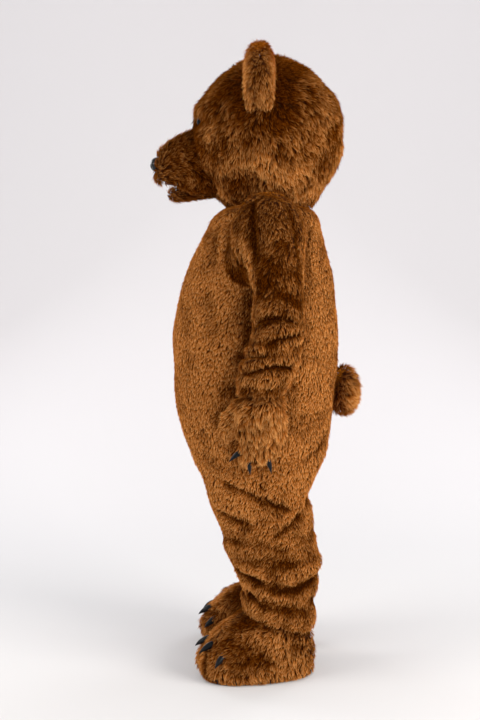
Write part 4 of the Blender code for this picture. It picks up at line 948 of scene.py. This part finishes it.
def face_front(x, z):
    """How far forward the head is at this place."""
    tall = np.where(z > HEAD_HEIGHT, HEAD_UP, HEAD_DOWN)
    part = 1 - (x / HEAD_HALF_WIDTH) ** 2 - ((z - HEAD_HEIGHT) / tall) ** 2
    return HEAD_MIDDLE - HEAD_HALF_DEPTH * np.sqrt(np.clip(part, 0, 1))


def muzzle_grid(part, depth):
    """Half-round sections from the face to the front, moved in by the pile's depth."""
    at, angle = grid(0, part["rows"]["at"][-1], 26, 0, np.pi, 33)
    row = row_at(part["rows"], at)
    x = part["half_width"] * np.cos(angle)
    down = part["height"] * np.sin(angle)
    base = face_front(x, part["lip"] + down * part["rows"]["tall"][0])
    corner = LIP_ROUND * bell(np.abs(down * row["tall"]) / LIP_ROUND, 1) * np.sign(part["height"])
    y = mix(base, part["front"], row["forward"]) + np.abs(corner) * ramp(row["forward"], 0.5, 0.5)
    z = part["lip"] + down * row["tall"] + corner * ramp(row["forward"], 0.75, 0.25)
    outer = xyz(x * row["wide"], y, z)
    centre = np.array([0, mix(face_front(0, part["lip"]), part["front"], MUZZLE_CORE), part["lip"]])
    reach = abs(part["front"] - centre[1]) + MUZZLE_REAR_ROOM
    size = np.array([part["half_width"], reach, abs(part["height"])])
    points = mix(centre, outer, 1 - depth / size)
    points[0, :, 1] = face_front(points[0, :, 0], points[0, :, 2]) + HEAD_PILE["depth"] * 0.8
    # painted highlights along the middle line and the front; painted shade where the muzzle meets
    # the face
    front_rim_light = ramp(row["forward"], 0.7, 0.3)
    middle = bell(np.degrees(angle) - 90, 17)
    tone = 0.55 * middle + 0.40 * front_rim_light - 0.26 * bell(row["forward"], 0.22) - 0.08
    return to_world(points), unit(outer - centre), tone


def sew_corners(points, away, tone):
    """The upper lip's edges carried down over the rear of the gap, to the jaw, behind GAP_REAR."""
    closed = ramp(points[:, 0, 1], GAP_REAR, 0.012)
    share = np.arange(1, CORNER_COLUMNS + 1)
    drop = closed[:, None] * (UPPER_LIP - LOWER_LIP) * share / CORNER_COLUMNS
    sewn = []
    for grid_values, change in ((points, drop[..., None] * (0, 0, -1)), (away, 0), (tone, -0.08)):
        first, last = (np.repeat(grid_values[:, [column]], CORNER_COLUMNS, axis=1) + change
                       for column in (0, -1))
        sewn.append(np.concatenate([first[:, ::-1], grid_values, last], axis=1))
    return sewn


def lip_comb(points, lip, over, beside_gap, closing):
    """The pile's way: over the muzzle, and within LIP_HANG of the lip across the gap.

    In front of GAP_REAR it lies along beside_gap, and behind that it closes the gap.
    """
    near = 1 - ramp(np.abs(points[..., 2:] + SHOULDER_HEIGHT - lip), 0, LIP_HANG)
    rear = np.clip((points[..., 1:2] - GAP_REAR) / 0.02 + 0.5, 0, 1)
    return (1 - near) * over + near * ((1 - rear) * beside_gap + rear * closing)


nose_centre = to_world(NOSE_MIDDLE)
points, away, tone = sew_corners(*muzzle_grid(MUZZLE_UPPER, UPPER_PILE["depth"]))
from_nose = unit(points - nose_centre) * 1.2 + (0, 0.6, 0)
comb = lip_comb(points, UPPER_LIP, from_nose, (0, 0.9, -0.45), (0, 0.3, -2.4))
add_fur("muzzle_upper", (points, away, comb, tone), UPPER_PILE, 1, 61, (0.30, 0.26), 0.055,
        bare=[(nose_centre, NOSE_BARE)])
points, away, tone = muzzle_grid(MUZZLE_JAW, JAW_PILE["depth"])
comb = lip_comb(points, LOWER_LIP, (0, 1.7, -0.2), (0, 0.7, 0.55), (0, 0.2, 2.2))
add_fur("muzzle_jaw", (points, away, comb, tone), JAW_PILE, 1, 62, (0.17, 0.15), 0.020)

# Polyester fleece: matt, with a fine nap 1.5 mm across.
FLEECE = patterned_material(
    "black polyester fleece", "ShaderNodeTexNoise", {"Scale": 650.0, "Detail": 3.0}, "Fac",
    ("#0d0a09", "#231b18"), (0.6, 0.001), Roughness=0.95, Sheen_Weight=0.05)


def add_mouth_lining():
    """A strip folded into the mouth: along the roof, round the back, and out on the floor."""
    rear = float(face_front(0, UPPER_LIP)) - LINING_SUNK
    roof, floor = UPPER_LIP - 0.002, LOWER_LIP + 0.002
    bend = np.linspace(np.pi / 2, -np.pi / 2, 13)
    radius = (roof - floor) / 2
    roof_y = np.linspace(LINING_ROOF_FRONT, rear - radius, 20)[:-1]
    floor_y = np.linspace(rear - radius, LINING_FLOOR_FRONT, 16)[1:]
    y = np.concatenate([roof_y, rear - radius + radius * np.cos(bend), floor_y])
    z = np.concatenate([0 * roof_y + roof, (roof + floor) / 2 + radius * np.sin(bend),
                        0 * floor_y + floor])
    points = xyz(np.linspace(-1, 1, 13) * LINING_HALF_WIDTH, y[:, None], z[:, None])
    points = to_world(points + ripple(points, 0.03, 8)[..., None] * (0, 0, 0.0006))
    inward = np.array([0, rear - radius - 0.03, (roof + floor) / 2 - SHOULDER_HEIGHT]) - points
    lining = backing_object("mouth_lining_cloth", points, grid_normals(points, inward), 1, FLEECE)
    stand_for("mouth_lining", "black_lining", lining)


add_mouth_lining()


# Nose and eyes: moulded plastic on washers behind the fur, so only their crowns stand out of it.
# The nose is a soft three-cornered button with two nostrils.

NOSE_HALF = (0.030, 0.021, 0.0225)
EYE_RADIUS = 0.0185
NOSTRIL = (0.42, -0.30, 0.16, 0.30)      # across, up, size and depth, as shares of the nose


def ball_grid(rings, sides):
    """A unit ball's points: lean from its front, -Y, and turn round it."""
    lean, turn = grid(0, np.pi, rings, 0, 2 * np.pi, sides)
    return xyz(np.sin(lean) * np.cos(turn), -np.cos(lean), np.sin(lean) * np.sin(turn))


def add_shell(name, node, points, side, material):
    """A closed smooth piece from a grid whose ends are poles and whose last column is its first."""
    mesh = closed_mesh(name, points * (side, 1, 1), grid_quads(points))
    stand_for(node, "black_plastic", add_object(name, mesh, material))


def nose_points():
    """A ball flattened above, drawn in below to a blunt corner, with a dent at each nostril."""
    ball = ball_grid(40, 65)
    narrow = 1 - 0.28 * np.clip(-ball[..., 2], 0, 1)
    for across in (-NOSTRIL[0], NOSTRIL[0]):
        near = (ball[..., 0] - across) ** 2 + (ball[..., 2] - NOSTRIL[1]) ** 2
        dent = NOSTRIL[3] * np.exp(-near / NOSTRIL[2] ** 2) * (ball[..., 1] < 0)
        ball = ball * (1 - dent)[..., None]
    ball[..., 0] *= narrow
    return to_world(ball * NOSE_HALF + NOSE_MIDDLE)


add_shell("nose_button", "nose", nose_points(), 1, BLACK_PLASTIC)
for side_name, side in SIDES.items():
    eye_points = ball_grid(20, 33) * EYE_RADIUS * (1, 0.8, 1) + eye_centre
    add_shell("eye_button_" + side_name, "eye_" + side_name, eye_points, side, EYE_BLACK)


# Ears: two padded faces each, sewn back to back round the rim, standing on the head's upper corner.

EAR_MIDDLE = 0.009
EAR_FROM, EAR_TO = np.radians([31, 77])
EAR_TALL = 0.105
EAR_SUNK = 0.012            # how far its foot lies under the head's surface
EAR_HALF_THICK = 0.046
EAR_THIN = 0.6              # how thick its ends are, as a share of its middle
EAR_OUTLINE = 0.93
EAR_ROUND = 2.8
EAR_PILE = dict(UPPER_PILE, stand=52, lay=24, lock=0.009, gather=0.30, depth=0.0140, tone=0.52)


def ear_cloth(sense):
    """A face of the ear: a half-round outline on the head's own curve, puffed out to one side.

    The pile runs along the rim and over its top, and lies down both faces to the foot.
    """
    turn, angle = grid(0, np.pi / 2, 24, EAR_FROM, EAR_TO, 30)
    depth = EAR_PILE["depth"]
    share = (angle - EAR_FROM) / (EAR_TO - EAR_FROM)
    arch = np.sqrt(1 - (EAR_OUTLINE * (2 * share - 1)) ** 2)
    rise = np.sin(turn) ** (2 / EAR_ROUND)
    full = np.cos(turn) ** (2 / EAR_ROUND)
    thick = (EAR_HALF_THICK - depth) * full * (EAR_THIN + (1 - EAR_THIN) * arch)
    y = EAR_MIDDLE + sense * np.maximum(thick, SEAM_GAP)
    round_off = np.sqrt(np.clip(1 - ((y - HEAD_MIDDLE) / HEAD_HALF_DEPTH) ** 2, 0, 1))
    length = (EAR_TALL - depth + EAR_SUNK) * arch * rise - EAR_SUNK
    points = xyz(HEAD_HALF_WIDTH * np.sin(angle) * round_off + length * np.sin(angle), y,
                 HEAD_HEIGHT + HEAD_UP * np.cos(angle) * round_off + length * np.cos(angle))
    radial = xyz(np.sin(angle), 0, np.cos(angle))
    down_rim = xyz(np.cos(angle), 0, -np.sin(angle))
    away = unit(radial * rise[..., None] ** 2 + full[..., None] ** 2 * (0, sense, 0))
    at_rim = rise[..., None] ** 5
    comb = (radial * -0.35 + (0.1, 0, -0.55)) * (1 - at_rim) + down_rim * 0.8 * at_rim
    degrees = np.degrees(angle)
    dark_part = bell(full, 0.5) * bell(degrees - 61, 8)
    # a painted highlight on the top of the ear's rim
    tone = 0.16 * bell(full - 0.95, 0.3) - 0.40 * dark_part + 0.50 * bell(degrees - 40, 16)
    return to_world(points), away, comb, tone


for side_name, side in SIDES.items():
    for face_name, sense in (("front", -1), ("back", 1)):
        add_fur(f"ear_{side_name}_{face_name}", ear_cloth(sense), EAR_PILE, side, 71, fill=0.6)


# Mitts: a back and a palm each, joined along the edges of the hand, with a thumb on the front edge
# and three black claws at the finger ends. The fur is long and fans out from the wrist.

MITT = columns("along x y z half_thick half_wide", [
    (0, 0.353, 0.02, 0.945, 0.042, 0.044), (0.12, 0.353, 0.014, 0.912, 0.042, 0.046),
    (0.16, 0.353, 0.013, 0.898, 0.044, 0.049), (0.2, 0.353, 0.011, 0.888, 0.058, 0.064),
    (0.32, 0.354, 0.008, 0.862, 0.064, 0.077), (0.48, 0.355, 0.011, 0.818, 0.062, 0.075),
    (0.66, 0.356, 0.01, 0.765, 0.056, 0.07), (0.78, 0.356, 0.005, 0.731, 0.047, 0.06),
    (0.88, 0.356, 0, 0.708, 0.035, 0.046), (0.95, 0.356, -0.002, 0.697, 0.022, 0.028),
    (1, 0.356, -0.003, 0.694, 0, 0)
])
MITT_PILE = dict(spacing=0.0029, length=0.030, width=0.0028, stand=52, lay=24, lock=0.012,
                 gather=0.34, twist=14, depth=0.0140, tone=0.70, hollow=0.03)
MITT_ENDS = (0.01, 0.985)   # the rows between which its normals are read
MITT_ROWS = 38
MITT_BARE_ROWS = 4          # no pile grows on these, which are inside the sleeve
WRIST = (0.353, 0.015, 0.955)
# The thumb's foot and tip across and up, its half width and half height, and how far forward it is.
THUMB_BASE = (0.347, 0.828)
THUMB_TIP = (0.338, 0.790)
THUMB_HALF = (0.026, 0.052)
THUMB_FRONT, THUMB_REAR = -0.106, -0.045
THUMB_DEPTH = 0.010
THUMB_PILE = dict(MITT_PILE, length=0.024, lock=0.010)


def mitt(along, angle):
    """An ellipse at each row: angle 0 is the outer side, 90 degrees the back edge of the hand."""
    row = row_at(MITT, np.clip(along, 0, 1))
    x = row["x"] + row["half_thick"] * np.cos(angle)
    return xyz(x, row["y"] + row["half_wide"] * np.sin(angle), row["z"])


def mitt_cloth(sense):
    """The back (sense 1) or the palm (sense -1) of the hand, closed at its end."""
    along, angle = grid(0, 1, MITT_ROWS, 0, np.pi, 25)
    angle = angle - sense * np.pi / 2
    away = outward(mitt, np.clip(along, *MITT_ENDS), angle, 1)
    smooth = mitt(along, angle)
    points = smooth + away * (0.002 * ripple(smooth, 0.07, 9) - MITT_PILE["depth"])[..., None]
    points[-1] = smooth[-1] + (0, 0, MITT_PILE["depth"])
    middle = row_at(MITT, along)["x"]
    points[..., 0] = middle + sense * np.maximum(sense * (points[..., 0] - middle), SEAM_GAP)
    points = to_world(points)
    # painted highlight along the back edge of the hand, and painted shade just below the sleeve's
    # end
    edge = bell(np.degrees(angle) - 84, 13) * ramp(along, 0, 0.25)
    tone = 0.45 * edge - 0.30 * bell(along - 0.10, 0.10) + 0.08 * ripple(points, 0.05, 16)
    return points, away, unit(smooth - WRIST) + (0, 0, -0.35), tone


def mitt_front(x, z):
    """How far forward the mitt is at this place."""
    along = np.linspace(1, 0, 201)
    row = row_at(MITT, np.interp(z, row_at(MITT, along)["z"], along))
    part = np.clip(1 - ((x - row["x"]) / row["half_thick"]) ** 2, 0, 1)
    return row["y"] - row["half_wide"] * np.sqrt(part)


def thumb_cloth():
    """The thumb: an open dome that stands on the front edge of the mitt."""
    share, angle = grid(0, 1, 18, 0, 2 * np.pi, 29)
    size = np.cos(share * np.pi / 2) ** 0.7
    forward = np.sin(share * np.pi / 2)
    across = (THUMB_HALF[0] - THUMB_DEPTH) * np.cos(angle)
    up = (THUMB_HALF[1] - THUMB_DEPTH) * np.sin(angle)
    base = mitt_front(THUMB_BASE[0] + across, THUMB_BASE[1] + up) + MITT_PILE["depth"]
    points = xyz(mix(THUMB_BASE[0], THUMB_TIP[0], forward) + across * size,
                 mix(base, THUMB_FRONT + THUMB_DEPTH, forward),
                 mix(THUMB_BASE[1], THUMB_TIP[1], forward) + up * size)
    away = unit(points - (THUMB_BASE[0], THUMB_REAR, THUMB_BASE[1]))
    return to_world(points), away, (0.05, -0.35, -1.0), 0


# A claw is moulded resin on a stem in the foam. depth is over its width, and taper says how late it
# thins: 1 is a straight cone.
CLAW_DEPTH = 1.1
CLAW_TAPER = 1.7


def claw_points(root, direction, length, radius, bend):
    """A hooked cone: a tapering round tube on an arc that turns down, ending in a point."""
    share, turn = grid(0, 1, 17, 0, 2 * np.pi, 21)
    aim = unit(direction)
    back = unit(np.array([0, 0, 1]) - aim * aim[2])
    across = np.cross(back, aim)
    turned = share * bend
    arc = length / bend
    size = radius * (1 - share ** CLAW_TAPER)
    over = size * CLAW_DEPTH * np.sin(turn)
    local_back = -arc * (1 - np.cos(turned)) + over * np.cos(turned)
    local_aim = arc * np.sin(turned) + over * np.sin(turned)
    local_across = size * np.cos(turn)
    points = root + (local_across[..., None] * across + local_back[..., None] * back
                     + local_aim[..., None] * aim)
    return np.concatenate([np.broadcast_to(root, points[:1].shape), points])


def add_claws(limb, side, feet, ways, sunk, shape):
    """One claw at each foot, sunk in the fur and pointing its own way."""
    for number, (foot, way) in enumerate(zip(feet, ways), 1):
        node = f"{limb}_claw_{number}"
        points = to_world(claw_points(foot - way * sunk, way, *shape))
        add_shell(node + "_horn", node, points, side, BLACK_RESIN)


# Where each claw is: its row and angle on the mitt, and the way that it points.
HAND_CLAWS = columns("along angle out back up", [
    (0.8, -78, 0.1, -0.95, -0.5), (0.925, -30, 0.1, -0.05, -1), (0.9, 58, 0.05, 0.5, -0.9)])
HAND_CLAW_SHAPE = (0.050, 0.0084, np.radians(24))      # length, radius, bend
HAND_CLAW_ROOT = 0.014

hand_feet = mitt(HAND_CLAWS["along"], np.radians(HAND_CLAWS["angle"]))
hand_ways = unit(xyz(HAND_CLAWS["out"], HAND_CLAWS["back"], HAND_CLAWS["up"]))
for side_name, side in SIDES.items():
    limb = "mitt_" + side_name
    for part_name, sense, seed in (("back", 1, 81), ("palm", -1, 82)):
        add_fur(f"{limb}_{part_name}", mitt_cloth(sense), MITT_PILE, side, seed, (0.19, 0.25),
                0.037, pile_from=MITT_BARE_ROWS)
    add_fur(limb + "_thumb", thumb_cloth(), THUMB_PILE, side, 83, (0.16, 0.07), 0.008)
    add_claws(limb, side, hand_feet, hand_ways, HAND_CLAW_ROOT, HAND_CLAW_SHAPE)


# Boots: fur uppers shaped like bear's feet on flat foam rubber soles, the shaft inside the trouser
# leg, with four black claws on the toes.

BOOT = columns("height half_width front back dip square", [
    (0.0125, 0.1, -0.165, 0.181, 0, 2.5), (0.03, 0.104, -0.174, 0.184, 0, 2.5),
    (0.055, 0.107, -0.178, 0.185, 0, 2.5), (0.085, 0.107, -0.17, 0.185, 0.002, 2.4),
    (0.11, 0.106, -0.152, 0.184, 0.006, 2.3), (0.13, 0.103, -0.128, 0.182, 0.012, 2.2),
    (0.15, 0.098, -0.092, 0.176, 0.022, 2.1), (0.164, 0.09, -0.052, 0.168, 0.028, 2),
    (0.178, 0.083, -0.022, 0.16, 0.028, 2), (0.215, 0.081, -0.016, 0.158, 0.028, 2),
    (0.26, 0.079, -0.014, 0.156, 0.028, 2)
])
BOOT_FOLDS = columns(FOLD, [
    # between the toes
    (0.02, -68, 0.115, -72, 0.01, -0.008, 0.13), (0.02, -90, 0.12, -90, 0.01, -0.009, 0.13),
    (0.02, -112, 0.115, -108, 0.01, -0.008, 0.13),
    # creases above the heel and on the instep
    (0.1, 150, 0.112, 30, 0.02, -0.006, 0.11), (0.135, -60, 0.115, -20, 0.02, -0.005, 0.11)
])
TOE_OUT = np.radians(12)
TOE_SPREAD = 0.10
BOOT_AXIS = (0.137, 0.075, 0)
BOOT_ROWS = 40
BOOT_BARE_ROWS = 7          # no pile grows on these, which are inside the trouser leg
BOOT_COLUMNS = 65
BOOT_CLOSER = 0.28          # how much closer its columns are at the toes and the heel, in radians
BOOT_PILE = dict(SUIT_PILE, length=0.020, stand=46, lay=18, twist=14, lock=0.010, gather=0.24,
                 depth=0.0085, tone=0.38)
FLOOR = 0.002 - SHOULDER_HEIGHT     # no pile reaches below this


def boot(height, angle):
    """A rounded oblong at each height, wider at the toes; angle 0 is the outer side."""
    row = row_at(BOOT, height)
    power = 2 / row["square"]
    cosine, sine = np.cos(angle), np.sin(angle)
    x = row["half_width"] * np.sign(cosine) * np.abs(cosine) ** power * (1 - TOE_SPREAD * sine)
    y = (row["front"] + row["back"]) / 2 - BOOT_AXIS[1]
    y = y + (row["back"] - row["front"]) / 2 * np.sign(sine) * np.abs(sine) ** power
    return xyz(x * np.cos(TOE_OUT) - y * np.sin(TOE_OUT), x * np.sin(TOE_OUT) + y * np.cos(TOE_OUT),
               height - row["dip"] * sine) + BOOT_AXIS


def boot_tone(points, height, angle):
    """Painted light by the sole and on the front; painted shade on the instep and the inner side.
    """
    low = ramp(height, 0.075, -0.05)
    front = bell_round(angle, -90, 16) * ramp(height, 0.04, 0.04)
    instep = bell_round(angle, -55, 32) * ramp(height, 0.05, 0.05)
    cloud = 0.13 * ripple(points, 0.10, 15)
    # painted shadow of the other boot on the inner side
    return 0.24 * low + 0.60 * front - 0.32 * instep - 0.34 * bell_round(angle, 180, 62) + cloud


def boot_cloth():
    """The boot with its folds, from the shaft down to the sole, where the pile is combed down."""
    height, angle = grid(*BOOT["height"][[0, -1]], BOOT_ROWS, 0, 2 * np.pi, BOOT_COLUMNS)
    height = height[::-1]
    angle = angle + 0.001       # off the quarter turns, where the oblong's slope is infinite
    angle = angle - BOOT_CLOSER * np.cos(angle)
    away = -outward(boot, height, angle, 1)
    smooth = boot(height, angle)
    raised = fold_height(BOOT_FOLDS, height, angle) + 0.002 * ripple(smooth, 0.09, 10)
    by_sole = ramp(height, 0.045, -0.03)
    points = smooth + away * (raised - BOOT_PILE["depth"] * (1 - 0.5 * by_sole))[..., None]
    points[-1, :, 2] = height[-1]
    points = to_world(points)
    low = ramp(points[..., 2:], 0.045 - SHOULDER_HEIGHT, -0.02)
    comb = (1 - low) * (0.05, -0.55, -0.8) + low * (0, -0.15, -1.2)
    return points, away, comb, boot_tone(points, height, np.degrees(angle))


# EVA foam sheet: matt, with closed cells about a millimetre across.
FOAM_RUBBER = patterned_material(
    "black EVA foam rubber sheet", "ShaderNodeTexVoronoi", {"Scale": 700.0}, "Distance",
    ("#171412", "#2a2522"), (0.4, 0.0005), Roughness=0.85)

# Where each toe's claw is on the boot, and how far it points down.
FOOT_CLAWS = columns("height angle turn up", [
    (0.086, -135, -34, -0.25), (0.104, -102, -11, -0.14), (0.104, -78, 11, -0.14),
    (0.084, -45, 36, -0.3)])
FOOT_CLAW_SHAPE = (0.052, 0.0108, np.radians(38))
FOOT_CLAW_ROOT = 0.016

cloth = boot_cloth()
foot_feet = boot(FOOT_CLAWS["height"], np.radians(FOOT_CLAWS["angle"]))
foot_heading = np.radians(FOOT_CLAWS["turn"]) + TOE_OUT
foot_ways = unit(xyz(np.sin(foot_heading), -np.cos(foot_heading), FOOT_CLAWS["up"]))
for side_name, side in SIDES.items():
    limb = "boot_" + side_name
    add_fur(limb + "_upper", cloth, BOOT_PILE, side, 91, (0.86, 0.30), 0.20,
            pile_from=BOOT_BARE_ROWS, floor=FLOOR)
    finish_solid(limb + "_sole", FOAM_RUBBER)
    add_claws(limb, side, foot_feet, foot_ways, FOOT_CLAW_ROOT, FOOT_CLAW_SHAPE)
